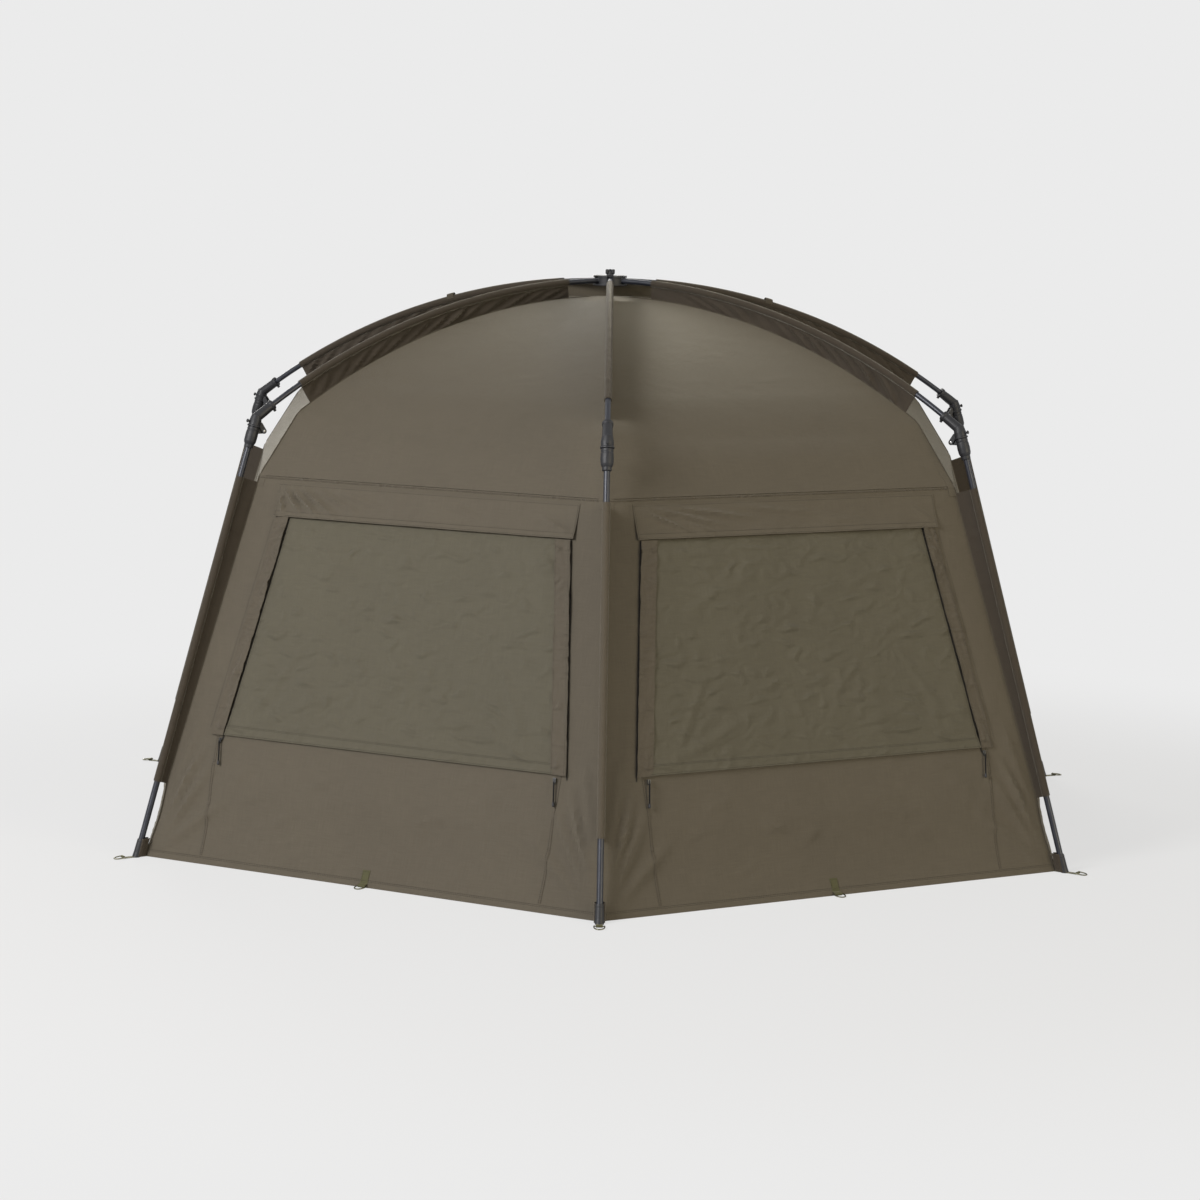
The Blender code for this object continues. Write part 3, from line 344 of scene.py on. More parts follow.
def ribbon(shape, path, width, height, lift=0.0, steps=4):
    rings = []  # a low sewn band along a path of (point, normal)
    for i, (point, normal) in enumerate(path):
        along = (path[min(i + 1, len(path) - 1)][0] - path[max(i - 1, 0)][0]).normalized()
        side = normal.cross(along).normalized()
        ring = []
        for k in range(steps + 1):
            share = 2 * k / steps - 1
            rise = lift + height * math.sqrt(max(0.0, 1 - share ** 4))
            ring.append(point + side * (share * width / 2) + normal * rise)
        ring.append(point + side * (width / 2) + normal * (lift - height * 0.5))
        ring.append(point - side * (width / 2) + normal * (lift - height * 0.5))
        rings.append(ring)
    loops(shape, rings)


def stitches(shape, path, pitch=0.0045, length=0.0034, width=0.0016, rise=0.0006):
    lengths = [(b[0] - a[0]).length for a, b in zip(path, path[1:])]
    faces = [(0, 2, 3), (0, 3, 4), (0, 4, 5), (0, 5, 2), (1, 3, 2), (1, 4, 3), (1, 5, 4), (1, 2, 5)]
    k, gone = 0, 0.0
    for n in range(int(sum(lengths) / pitch)):
        target = (n + 0.5) * pitch
        while k < len(lengths) - 1 and gone + lengths[k] < target:
            gone += lengths[k]
            k += 1
        share = (target - gone) / max(lengths[k], 1e-9)
        point = path[k][0].lerp(path[k + 1][0], share)
        normal = path[k][1].lerp(path[k + 1][1], share).normalized()
        along = (path[k + 1][0] - path[k][0]).normalized()
        side = normal.cross(along).normalized()
        shape.add(
            [
                point - along * (length / 2),
                point + along * (length / 2),
                point + side * (width / 2),
                point + normal * rise,
                point - side * (width / 2),
                point - normal * (rise * 0.4),
            ],
            faces,
        )


# Folds and creases
def soft(x, y, seed, scaleX=4.0, scaleY=4.0):
    return noise.noise(Vector((x * scaleX, y * scaleY, seed * 7.31)))


def crumple(x, y, seed, scaleX=14.0, scaleY=14.0):
    value = noise.noise(Vector((x * scaleX, y * scaleY, seed * 3.17)))
    patch = noise.noise(Vector((x * 2.1, y * 2.7, seed * 1.9 + 40.0)))
    return (1 - min(1.0, abs(value) * 3.2)) ** 2 * max(0.0, 0.35 + patch)


def waved(form, x, y, seed):  # a form is height, waves per metre along and up
    return form[0] * soft(x, y, seed, *form[1:])


def crushed(form, x, y, seed):
    return form[0] * crumple(x, y, seed, *form[1:])


def creases(lines, x, y):
    total = 0.0  # each line is x0, y0, x1, y1, width, height
    for x0, y0, x1, y1, width, height in lines:
        dx, dy = x1 - x0, y1 - y0
        t = ((x - x0) * dx + (y - y0) * dy) / (dx * dx + dy * dy)
        if not 0.0 < t < 1.0:
            continue
        away = abs((x - x0) * dy - (y - y0) * dx) / math.hypot(dx, dy)
        if away < 3 * width:
            total += height * math.exp(-((away / width) ** 2)) * math.sin(math.pi * t) ** 0.7
    return total


def clamp(value, low=0.0, high=1.0):
    return max(low, min(high, value))


def stepAt(value, edge, width=0.0015):
    return clamp((value - edge) / width + 0.5)


# Materials
weave = {
    "slubScale": (22.0, 520.0),
    "cloudScale": (4.5, 3.6),
    "creaseStretch": 1.7,
    "tone": 0.08,  # how much darker the cloth is between its threads
    "fineHeight": 0.05,
    "roughness": 0.70,
    "roughnessSwing": 0.16,
}
wear = {"broadScale": 38.0, "from": 0.50, "to": 0.70, "roughnessSwing": 0.25}


def newGroup(name, inputs, outputs):
    group = bpy.data.node_groups.new(name, "ShaderNodeTree")
    for label, kind, value in inputs:
        socket = group.interface.new_socket(name=label, in_out="INPUT", socket_type=kind)
        socket.default_value = value
    for label, kind in outputs:
        group.interface.new_socket(name=label, in_out="OUTPUT", socket_type=kind)
    return group, group.nodes.new("NodeGroupInput"), group.nodes.new("NodeGroupOutput")


def node(tree, kind, **settings):
    made = tree.nodes.new(kind)
    for key, value in settings.items():
        if key in made.bl_rna.properties:
            setattr(made, key, value)
        else:
            made.inputs[key].default_value = value
    return made


def calc(tree, operation, first, second=None):
    made = tree.nodes.new("ShaderNodeMath")
    made.operation = operation
    for socket, value in zip(made.inputs, (first, second)):
        if isinstance(value, (int, float)):
            socket.default_value = value
        elif value is not None:
            tree.links.new(value, socket)
    return made.outputs[0]


def mixColour(tree, share, first, second):
    made = tree.nodes.new("ShaderNodeMix")
    made.data_type = "RGBA"
    for socket, value in ((made.inputs[0], share), (made.inputs[6], first), (made.inputs[7], second)):
        tree.links.new(value, socket)
    return made.outputs[2]


def streaks(tree, uv, scaleX, scaleY, detail):
    stretch = node(tree, "ShaderNodeMapping")
    stretch.inputs["Scale"].default_value = (scaleX, scaleY, 1.0)
    tree.links.new(uv, stretch.inputs["Vector"])
    cloud = node(tree, "ShaderNodeTexNoise", Scale=1.0, Detail=detail, Roughness=0.6)
    tree.links.new(stretch.outputs[0], cloud.inputs["Vector"])
    return cloud.outputs["Fac"]


def weaveGroup():
    group, given, made = newGroup(
        "cloth weave",
        [
            ("Colour", "NodeSocketColor", (0.1, 0.1, 0.1, 1.0)),
            ("Shade", "NodeSocketColor", (0.05, 0.05, 0.05, 1.0)),
            ("Threads per metre", "NodeSocketFloat", 1100.0),
            ("Slub", "NodeSocketFloat", 0.9),
            ("Crease", "NodeSocketFloat", 0.2),
            ("Crease scale", "NodeSocketFloat", 9.0),
            ("Mottle", "NodeSocketFloat", 0.9),
        ],
        [("Colour", "NodeSocketColor"), ("Height", "NodeSocketFloat"), ("Roughness", "NodeSocketFloat")],
    )
    uv = node(group, "ShaderNodeTexCoord").outputs["UV"]
    split = node(group, "ShaderNodeSeparateXYZ")
    group.links.new(uv, split.inputs[0])
    waves = []
    for axis in (0, 1):
        turn = calc(group, "MULTIPLY", split.outputs[axis], given.outputs["Threads per metre"])
        waves.append(calc(group, "SINE", calc(group, "MULTIPLY", turn, math.pi)))
    woven = calc(group, "MULTIPLY", waves[0], waves[1])
    long, fine = weave["slubScale"]
    threads = calc(group, "ADD", streaks(group, uv, long, fine, 2.0), streaks(group, uv, fine, long, 2.0))
    slub = calc(group, "MULTIPLY", calc(group, "SUBTRACT", threads, 1.0), given.outputs["Slub"])
    cloud = streaks(group, uv, *weave["cloudScale"], 4.0)
    mottle = calc(group, "MULTIPLY", calc(group, "SUBTRACT", cloud, 0.5), given.outputs["Mottle"])
    tone = calc(group, "ADD", calc(group, "ADD", slub, mottle), calc(group, "MULTIPLY", woven, weave["tone"]))
    share = calc(group, "SUBTRACT", 0.5, tone)
    colour = mixColour(group, share, given.outputs["Colour"], given.outputs["Shade"])
    group.links.new(colour, made.inputs["Colour"])
    crush = node(
        group, "ShaderNodeTexNoise", noise_type="RIDGED_MULTIFRACTAL",
        Detail=4.0, Roughness=0.45, Distortion=0.4,
    )
    stretch = node(group, "ShaderNodeMapping")
    stretch.inputs["Scale"].default_value = (1.0, weave["creaseStretch"], 1.0)
    group.links.new(uv, stretch.inputs["Vector"])
    group.links.new(stretch.outputs[0], crush.inputs["Vector"])
    group.links.new(given.outputs["Crease scale"], crush.inputs["Scale"])
    crease = calc(group, "MULTIPLY", crush.outputs["Fac"], given.outputs["Crease"])
    grain = calc(group, "ADD", calc(group, "MULTIPLY", woven, 0.5), slub)
    grain = calc(group, "MULTIPLY", grain, weave["fineHeight"])
    group.links.new(calc(group, "ADD", grain, crease), made.inputs["Height"])
    swing = calc(group, "MULTIPLY", cloud, weave["roughnessSwing"])
    group.links.new(calc(group, "ADD", weave["roughness"], swing), made.inputs["Roughness"])
    return group


def wearGroup():
    group, given, made = newGroup(
        "surface wear",
        [
            ("Colour", "NodeSocketColor", (0.03, 0.03, 0.03, 1.0)),
            ("Worn", "NodeSocketColor", (0.08, 0.08, 0.08, 1.0)),
            ("Grain scale", "NodeSocketFloat", 900.0),
            ("Wear", "NodeSocketFloat", 0.5),
            ("Roughness", "NodeSocketFloat", 0.45),
        ],
        [("Colour", "NodeSocketColor"), ("Height", "NodeSocketFloat"), ("Roughness", "NodeSocketFloat")],
    )
    spot = node(group, "ShaderNodeTexCoord").outputs["Object"]
    fine = node(group, "ShaderNodeTexNoise", Detail=2.0)
    group.links.new(spot, fine.inputs["Vector"])
    group.links.new(given.outputs["Grain scale"], fine.inputs["Scale"])
    broad = node(group, "ShaderNodeTexNoise", Scale=wear["broadScale"], Detail=5.0, Roughness=0.65)
    group.links.new(spot, broad.inputs["Vector"])
    ramp = node(group, "ShaderNodeMapRange")
    ramp.inputs["From Min"].default_value = wear["from"]
    ramp.inputs["From Max"].default_value = wear["to"]
    group.links.new(broad.outputs["Fac"], ramp.inputs["Value"])
    rub = calc(group, "MULTIPLY", ramp.outputs["Result"], given.outputs["Wear"])
    colour = mixColour(group, rub, given.outputs["Colour"], given.outputs["Worn"])
    group.links.new(colour, made.inputs["Colour"])
    group.links.new(fine.outputs["Fac"], made.inputs["Height"])
    swing = calc(group, "SUBTRACT", broad.outputs["Fac"], 0.5)
    swing = calc(group, "MULTIPLY", swing, wear["roughnessSwing"])
    group.links.new(calc(group, "ADD", given.outputs["Roughness"], swing), made.inputs["Roughness"])
    return group


groups = {"weave": weaveGroup(), "wear": wearGroup()}


def newMaterial(name, effect, values, bump, fixed):
    made = bpy.data.materials.new(name)
    made.use_nodes = True
    tree = made.node_tree
    shader = tree.nodes["Principled BSDF"]
    for key, value in fixed.items():
        shader.inputs[key].default_value = value
    worked = tree.nodes.new("ShaderNodeGroup")
    worked.node_tree = groups[effect]
    for key, value in values.items():
        worked.inputs[key].default_value = (*value, 1.0) if isinstance(value, tuple) else value
    tree.links.new(worked.outputs["Colour"], shader.inputs["Base Color"])
    tree.links.new(worked.outputs["Roughness"], shader.inputs["Roughness"])
    dent = node(tree, "ShaderNodeBump", Strength=bump[0], Distance=bump[1])
    tree.links.new(worked.outputs["Height"], dent.inputs["Height"])
    tree.links.new(dent.outputs["Normal"], shader.inputs["Normal"])
    return made


clothFinish = {  # colour, shade, and what differs from the group's own values
    "canopyCloth": ((0.090, 0.077, 0.056), (0.066, 0.055, 0.039), {"Crease": 0.6, "Crease scale": 13.0}),
    "roofCloth": ((0.089, 0.076, 0.055), (0.066, 0.055, 0.039), {"Crease": 0.22, "Crease scale": 8.0}),
    "coverCloth": ((0.086, 0.078, 0.055), (0.063, 0.056, 0.038), {"Crease": 2.2, "Crease scale": 20.0}),
    # the sleeve cloth is darkened for painted shade on the fins and sleeves; the rear sleeve's paler copy is
    # painted light on the near pole's sleeve
    "sleeveClothPaintedShade": ((0.038, 0.029, 0.019), (0.027, 0.020, 0.013), {"Crease": 0.6, "Crease scale": 18.0}),
    "rearSleevePaintedLight": ((0.073, 0.060, 0.042), (0.053, 0.043, 0.029), {"Crease": 0.6, "Crease scale": 18.0}),
    "stripCloth": ((0.082, 0.069, 0.050), (0.062, 0.051, 0.036), {"Crease": 2.4, "Crease scale": 26.0}),
    "seamTape": ((0.054, 0.044, 0.030), (0.040, 0.032, 0.021), {}),
    "webbing": ((0.080, 0.077, 0.034), (0.044, 0.043, 0.018), {"Threads per metre": 600.0}),
    "sewingThread": ((0.020, 0.016, 0.010), (0.013, 0.010, 0.006), {}),
    "zipTape": ((0.014, 0.012, 0.009), (0.008, 0.007, 0.006), {"Threads per metre": 900.0}),
    "netCloth": ((0.014, 0.014, 0.012), (0.007, 0.007, 0.006), {"Threads per metre": 700.0}),
}
hardFinish = {  # colour, worn colour, roughness, wear, metallic, specular level
    "mouldedPlastic": ((0.0085, 0.009, 0.0115), (0.024, 0.024, 0.027), 0.52, 0.25, 0.0, 0.4),
    "coatedPole": ((0.017, 0.019, 0.027), (0.050, 0.054, 0.066), 0.38, 0.3, 0.25, 0.45),
    "ringSteel": ((0.13, 0.125, 0.085), (0.24, 0.23, 0.18), 0.42, 0.5, 1.0, 0.5),
    "pinSteel": ((0.34, 0.34, 0.34), (0.5, 0.5, 0.5), 0.30, 0.5, 1.0, 0.5),
    "zipMetal": ((0.020, 0.020, 0.020), (0.10, 0.10, 0.10), 0.35, 0.5, 0.4, 0.5),
    "pullCord": ((0.006, 0.006, 0.006), (0.014, 0.014, 0.014), 0.85, 0.5, 0.0, 0.2),
}
clothBump, hardBump = (1.0, 0.0050), (0.12, 0.0002)  # strength, distance
clothGloss = {
    "Sheen Weight": 0.3,
    "Sheen Roughness": 0.4,
    "Sheen Tint": (1.0, 0.96, 0.82, 1.0),
    "Specular IOR Level": 0.3,
}
material = {}
for name, (colour, shade, more) in clothFinish.items():
    values = {"Colour": colour, "Shade": shade, **more}
    material[name] = newMaterial(name, "weave", values, clothBump, clothGloss)
for name, (colour, worn, roughness, rub, metallic, specular) in hardFinish.items():
    values = {"Colour": colour, "Worn": worn, "Roughness": roughness, "Wear": rub}
    fixed = {"Metallic": metallic, "Specular IOR Level": specular}
    material[name] = newMaterial(name, "wear", values, hardBump, fixed)
print("materials made:", len(material))

# Camera, lamps and floor
camera = {
    "lens": 91.497,
    "sensor": 36.0,
    "back": 7.575,
    "height": 1.530,
    "pan": 0.09,
    "pitch": 7.59,
    "roll": 0.94,
}
lamps = {
    "keyLamp": {"spot": (-4.9, -5.0, 4.0), "size": 2.6, "power": 575.0, "colour": (1.0, 0.985, 0.98)},
    "fillLamp": {"spot": (5.7, -5.2, 2.6), "size": 3.5, "power": 275.0, "colour": (1.0, 0.88, 0.62)},
    "frontLamp": {"spot": (-1.6, 6.6, 2.5), "size": 4.0, "power": 310.0, "colour": (1.0, 0.97, 0.92)},
}
lampAim = Vector((0.0, 0.2, 0.6))
backdrop = {
    "grey": 0.831,
    "world": 0.27,
    "floor": 14.0,
    "drop": 0.0006,
    "near": 1.6,  # the floor's own light fades in from here
    "far": 3.2,
    "glow": 0.78,
    "bounce": 0.8,
    "shown": 0.68,  # the floor looks darker than the light it throws back
}


def makeCamera():
    lens = bpy.data.cameras.new("camera")
    lens.lens = camera["lens"]
    lens.sensor_width = camera["sensor"]
    viewer = bpy.data.objects.new("camera", lens)
    viewer.matrix_world = (
        Matrix.Translation((0.0, hubY - camera["back"], camera["height"]))
        @ Matrix.Rotation(math.radians(camera["pan"]), 4, "Z")
        @ Matrix.Rotation(math.radians(90 - camera["pitch"]), 4, "X")
        @ Matrix.Rotation(math.radians(camera["roll"]), 4, "Z")
    )
    bpy.context.scene.collection.objects.link(viewer)
    bpy.context.scene.camera = viewer


def makeLamps():
    for name, values in lamps.items():
        light = bpy.data.lights.new(name, "AREA")
        light.size = values["size"]
        light.energy = values["power"]
        light.color = values["colour"]
        lamp = bpy.data.objects.new(name, light)
        lamp.location = values["spot"]
        lamp.rotation_euler = (lampAim - lamp.location).to_track_quat("-Z", "Y").to_euler()
        bpy.context.scene.collection.objects.link(lamp)


def seenDirectly(tree):
    path = node(tree, "ShaderNodeLightPath").outputs
    seen = calc(tree, "MAXIMUM", path["Is Camera Ray"], path["Is Glossy Ray"])
    return calc(tree, "MAXIMUM", seen, path["Is Transmission Ray"])


def makeBackdrop():
    world = bpy.data.worlds.new("studio")
    bpy.context.scene.world = world
    world.use_nodes = True
    tree = world.node_tree
    tree.nodes.clear()
    plain = node(tree, "ShaderNodeBackground", Color=(1.0, 1.0, 1.0, 1.0), Strength=backdrop["world"])
    shown = node(tree, "ShaderNodeBackground", Color=(1.0, 1.0, 1.0, 1.0), Strength=backdrop["grey"])
    mix = node(tree, "ShaderNodeMixShader")
    tree.links.new(seenDirectly(tree), mix.inputs[0])
    tree.links.new(plain.outputs[0], mix.inputs[1])
    tree.links.new(shown.outputs[0], mix.inputs[2])
    tree.links.new(mix.outputs[0], node(tree, "ShaderNodeOutputWorld").inputs["Surface"])

    paint = bpy.data.materials.new("studioFloor")
    paint.use_nodes = True
    tree = paint.node_tree
    tree.nodes.clear()
    away = node(tree, "ShaderNodeVectorMath", operation="LENGTH")
    tree.links.new(node(tree, "ShaderNodeTexCoord").outputs["Object"], away.inputs[0])
    fade = node(tree, "ShaderNodeMapRange", interpolation_type="SMOOTHSTEP")
    fade.inputs["From Min"].default_value = backdrop["near"]
    fade.inputs["From Max"].default_value = backdrop["far"]
    fade.inputs["To Min"].default_value = backdrop["glow"]
    tree.links.new(away.outputs["Value"], fade.inputs["Value"])
    matt = node(tree, "ShaderNodeBsdfDiffuse")
    shade = node(tree, "ShaderNodeMapRange")
    shade.inputs["To Min"].default_value = backdrop["bounce"]
    shade.inputs["To Max"].default_value = backdrop["shown"]
    tree.links.new(seenDirectly(tree), shade.inputs["Value"])
    tree.links.new(shade.outputs["Result"], matt.inputs["Color"])
    glow = node(tree, "ShaderNodeEmission", Color=(1.0, 1.0, 1.0, 1.0), Strength=backdrop["grey"])
    mix = node(tree, "ShaderNodeMixShader")
    tree.links.new(calc(tree, "MULTIPLY", fade.outputs["Result"], seenDirectly(tree)), mix.inputs[0])
    tree.links.new(matt.outputs[0], mix.inputs[1])
    tree.links.new(glow.outputs[0], mix.inputs[2])
    tree.links.new(mix.outputs[0], node(tree, "ShaderNodeOutputMaterial").inputs["Surface"])

    mesh = bpy.data.meshes.new("studioFloor")
    bm = bmesh.new()
    bmesh.ops.create_grid(bm, x_segments=8, y_segments=8, size=backdrop["floor"])
    bm.to_mesh(mesh)
    bm.free()
    mesh.materials.append(paint)
    floor = bpy.data.objects.new("studioFloor", mesh)
    floor.location.z = -backdrop["drop"]
    bpy.context.scene.collection.objects.link(floor)


makeCamera()
makeLamps()
makeBackdrop()
bpy.context.scene.view_settings.view_transform = "Standard"
print("camera, lamps and floor set")

# Canopy panels. A panel's own frame has X along the wall and -Y outwards.
window = {
    "flapTop": 0.856,
    "flapFoot": 0.780,
    "flapMargin": 0.076,
    "coverMargin": 0.1195,
    "coverTop": 0.7785,
    "coverFoot": 0.286,
    "stripGap": 0.0015,
    "stripWidth": 0.034,
    "stripFoot": 0.285,
    "stripTop": 0.784,
    "netMargin": 0.022,
    "sliderRest": 0.2735,
}
door = {"topHalf": 0.300, "footHalf": 0.430, "top": 0.790, "gap": 0.001, "sliderRest": 0.082}
netFoot, netTop = window["coverFoot"] + window["netMargin"], window["coverTop"] - window["netMargin"]
wallTop = seamTop - 0.0006
clothDepth = 0.0010
wallCreases = {  # along the wall, height, the same for the other end, width, height of the crease
    "foot": [
        (0.585, 0.020, 0.478, 0.262, 0.0095, 0.0046),
        (0.590, 0.016, 0.502, 0.330, 0.0110, 0.0038),
        (0.580, 0.012, 0.445, 0.225, 0.0100, 0.0036),
        (0.575, 0.010, 0.395, 0.150, 0.0120, 0.0034),
        (0.592, 0.030, 0.535, 0.420, 0.0120, 0.0036),
    ],
    "field": [
        (0.10, 0.150, 0.17, 0.162, 0.0060, 0.0022),
        (0.06, 0.118, 0.02, 0.150, 0.0060, 0.0018),
        (-0.12, 0.215, -0.20, 0.190, 0.0070, 0.0018),
        (-0.28, 0.100, -0.22, 0.125, 0.0060, 0.0016),
        (0.24, 0.220, 0.31, 0.205, 0.0070, 0.0018),
        (-0.34, 0.230, -0.40, 0.180, 0.0080, 0.0020),
    ],
}
wallRelief = {
    "bowRear": 0.005,  # how far the middle hangs inward
    "bowOther": 0.020,
    "slackFoot": 0.40,
    "slackMiddle": 0.90,
    "fadeSide": 0.05,
    "fadeFoot": 0.035,
    "fadeTop": 0.03,
    "broad": (0.0040, 3.0, 2.4),
    "small": (0.0016, 11.0, 7.0),
    "crumple": (0.0014, 8.0, 10.0),
    "footRear": 2.9,
    "fieldRear": 2.4,
    "footOther": 2.2,
    "creaseHalf": 0.597,  # half the width of the wall that the crease lines are drawn on
}
roofRelief = {
    "sag": 0.014,
    "fadeSide": 0.04,
    "fadeSeam": 0.03,
    "fadeHub": 0.1,
    "waves": (0.0005, 2.5, 22.0),
    "wavesFrom": 0.45,
    "wavesOver": 0.4,
    "broad": (0.0016, 3.0, 3.0),
    "crumple": (0.0002, 6.0, 18.0),
    "step": 0.004,
    "foldReach": 0.945,
}


class Panel:
    def __init__(self, key, seed):
        self.key, self.seed = key, seed
        self.angle, self.half, self.holder = panels[key]
        self.lower = f"lower_leg_{self.holder}"
        self.frame = place(self.angle)
        lean = (shelter["hem"].x - shelter["seam"].x) * math.cos(self.half) / seamTop
        self.out = Vector((0.0, -1.0, lean)).normalized()
        self.inner = {"rear_left": 1, "rear_right": -1}.get(key, 0)  # the side of the rear pole

    def distance(self, z):
        return wallCorner(z).x * math.cos(self.half)

    def edge(self, z):
        return self.distance(z) * math.tan(self.half) - shelter["edgeTrim"]

    def relief(self, s, z):
        size, seed, edge = wallRelief, self.seed, self.edge(z)
        fade = clamp((edge - abs(s)) / size["fadeSide"]) * clamp(z / size["fadeFoot"])
        fade *= clamp((seamTop - z) / size["fadeTop"])
        slack = size["slackFoot"] * (1 - z / seamTop) + size["slackMiddle"] * math.sin(math.pi * z / seamTop)
        bow = -size["bowRear" if self.inner else "bowOther"] * (1 - (s / edge) ** 2) * slack
        rise = waved(size["broad"], s, z, seed) + waved(size["small"], s, z, seed + 9)
        rise += crushed(size["crumple"], s, z, seed)
        if self.inner:
            foot = size["footRear"] * creases(wallCreases["foot"], abs(s), z)
            rise += foot + size["fieldRear"] * creases(wallCreases["field"], s * self.inner, z)
        else:
            shifted = abs(s) + size["creaseHalf"] - self.edge(0.0)
            rise += size["footOther"] * creases(wallCreases["foot"], shifted, z)
        return rise * fade + bow

    def at(self, s, z, lift=0.0):
        point = Vector((s, -self.distance(z), z)) + self.out * (self.relief(s, z) + lift)
        point.z = max(point.z, 0.0)  # the hem lies on the ground
        return point

    def line(self, ends, lift=0.0, step=0.012):
        (s0, z0), (s1, z1) = ends
        count = max(2, int(math.hypot(s1 - s0, z1 - z0) / step))
        path = []
        for i in range(count + 1):
            t = i / count
            path.append((self.at(s0 + (s1 - s0) * t, z0 + (z1 - z0) * t, lift), self.out))
        return path

    def foldWay(self, holder):
        leg = place(legs[holder])
        low, high = leg @ inLeg(shelter["hem"]), leg @ inLeg(shelter["seam"])
        square = (high - low).cross(self.frame.to_3x3() @ self.out).normalized()
        level = self.frame.to_3x3() @ xWay
        return (square + level * math.copysign(1.0, square.dot(level))).normalized(), low

    def roofAt(self, u, d, lift=0.0):
        size, inside, step = roofRelief, 1 - abs(u) ** 5, roofRelief["step"]
        point = roofPoint(d, inside)
        along = roofPoint(min(d + step, shelter["seam"].x), inside)
        along -= roofPoint(max(d - step, step / 2), inside)
        normal = Vector((0.0, along.y, along.x * math.cos(self.half))).normalized()
        share = d / shelter["seam"].x
        half = point.x * math.sin(self.half)
        sag = size["sag"] * math.sin(math.pi * share) ** 0.8 * (1 - u * u)
        edge = clamp((1 - abs(u)) * half / size["fadeSide"]) * clamp((1 - share) / size["fadeSeam"])
        edge *= clamp(share / size["fadeHub"])
        late = clamp((share - size["wavesFrom"]) / size["wavesOver"])
        ripple = waved(size["waves"], u * half, d, self.seed + 3) * late
        ripple += waved(size["broad"], u * half, d, self.seed + 5)
        ripple += crushed(size["crumple"], u * half, d, self.seed + 6)
        flat = Vector((u * half, -point.x * math.cos(self.half), point.y))
        return flat + normal * (edge * ripple - sag + lift), normal

    def roofFoldWay(self, holder, far):
        leg = place(legs[holder])
        low, high = leg @ inLeg(shelter["seam"]), leg @ inLeg(onArc(shelter["ridgeStart"], ridgeArc))
        other = self.frame @ self.roofAt(far, roofRelief["foldReach"])[0]
        normal = (high - low).cross(other - low)
        return (high - low).cross(normal).normalized(), low


def foldWith(objects, way):
    for obj in objects:
        tuple(way[0])
        tuple(way[1])
        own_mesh(obj)


def declare(obj, width, length, area=None, parts=()):
    list(parts)


def sew(name, rows, body, where, **stitch):
    thread = Shape()
    for row in rows:
        stitches(thread, row, **stitch)
    return makePiece(name, thread, "sewingThread", body, where=where)


walls = {key: Panel(key, i + 1) for i, key in enumerate(panels)}


def coverEdge(z):
    return walls["rear_left"].edge(z) + shelter["edgeTrim"] - window["coverMargin"]


def netEdge(z):
    return coverEdge(z) - window["netMargin"]


def doorEdge(z):
    return door["footHalf"] + (door["topHalf"] - door["footHalf"]) * min(z, door["top"]) / door["top"]


# Walls
sewing = {
    "edgeTop": 0.866,  # the rows end at the wall's edges at these heights
    "edgeFoot": 0.010,
    "seamHeight": 0.8655,
    "seamTape": (0.0042, 0.0007),
    "seamTapeLift": 0.0008,
    "seamRowLift": 0.0015,
    "joinTape": (0.0075, 0.0007),
    "joinTop": 0.862,
    "joinRows": (-0.0026, 0.0026),
    "joinFoot": 0.445,
    "joinBeside": 0.018,
    "sideJoin": 0.62,
    "sideJoinAt": 0.4,
    "besideStrip": 0.010,
    "besideEnds": (0.30, 0.775),
    "overDoor": 0.004,
    "hemTop": 0.018,
    "hemLift": 0.0008,
    "hemRows": (0.0155, 0.0125),
}


def hemLift(z):
    return sewing["hemLift"] * (1 - stepAt(z, sewing["hemTop"]))  # the hem is doubled


def sewWall(panel, label, body, near, far):
    level, top = sewing["seamHeight"], sewing["joinTop"]
    edgeTop, edgeFoot = panel.edge(sewing["edgeTop"]), panel.edge(sewing["edgeFoot"])
    tape = Shape()
    seam = ((near * edgeTop, level), (far * edgeTop, level))
    ribbon(tape, panel.line(seam, sewing["seamTapeLift"]), *sewing["seamTape"])
    rows = [(*seam[0], *seam[1], sewing["seamRowLift"])]
    ends, start = [near * edgeFoot, far * edgeFoot], sewing["hemTop"]
    if panel.inner:
        foot, head = sewing["joinFoot"], coverEdge(window["stripFoot"]) + sewing["joinBeside"]
        joins = [(side * foot, side * head, window["coverFoot"]) for side in (-1, 1)]
        beside = window["stripGap"] + window["stripWidth"] + sewing["besideStrip"]
        inner = [(-panel.inner * (coverEdge(z) + beside), z) for z in sewing["besideEnds"]]
        rows.append((*inner[0], *inner[1], 0.0))
    elif panel.key == "front":
        ends = [math.copysign(max(abs(end), doorEdge(0.0)), near + far) for end in ends]
        joins, start = [(0.0, 0.0, top)] if far > 0 else [], door["top"] + sewing["overDoor"]
    else:
        wide, share = panel.edge(sewing["sideJoinAt"]), sewing["sideJoin"]
        joins = [(side * wide * share, side * wide * share, top) for side in (-1, 1)]
    rows += [(ends[0], z, ends[1], z, sewing["hemLift"]) for z in sewing["hemRows"]]
    width, rise = sewing["joinTape"]
    for foot, head, height in joins:
        ribbon(tape, panel.line(((foot, start), (head, height))), width, rise)
        rows += [(foot + shift, start, head + shift, height, rise) for shift in sewing["joinRows"]]
    lines = [panel.line(((s0, z0), (s1, z1)), lift) for s0, z0, s1, z1, lift in rows]
    return [
        makePiece(f"wall_seams_{label}", tape, "stripCloth", body, where=panel.frame),
        sew(f"wall_thread_{label}", lines, body, panel.frame),
    ]


def between(values, near, far):
    return [value for value in values if near - 1e-6 < value < far + 1e-6]


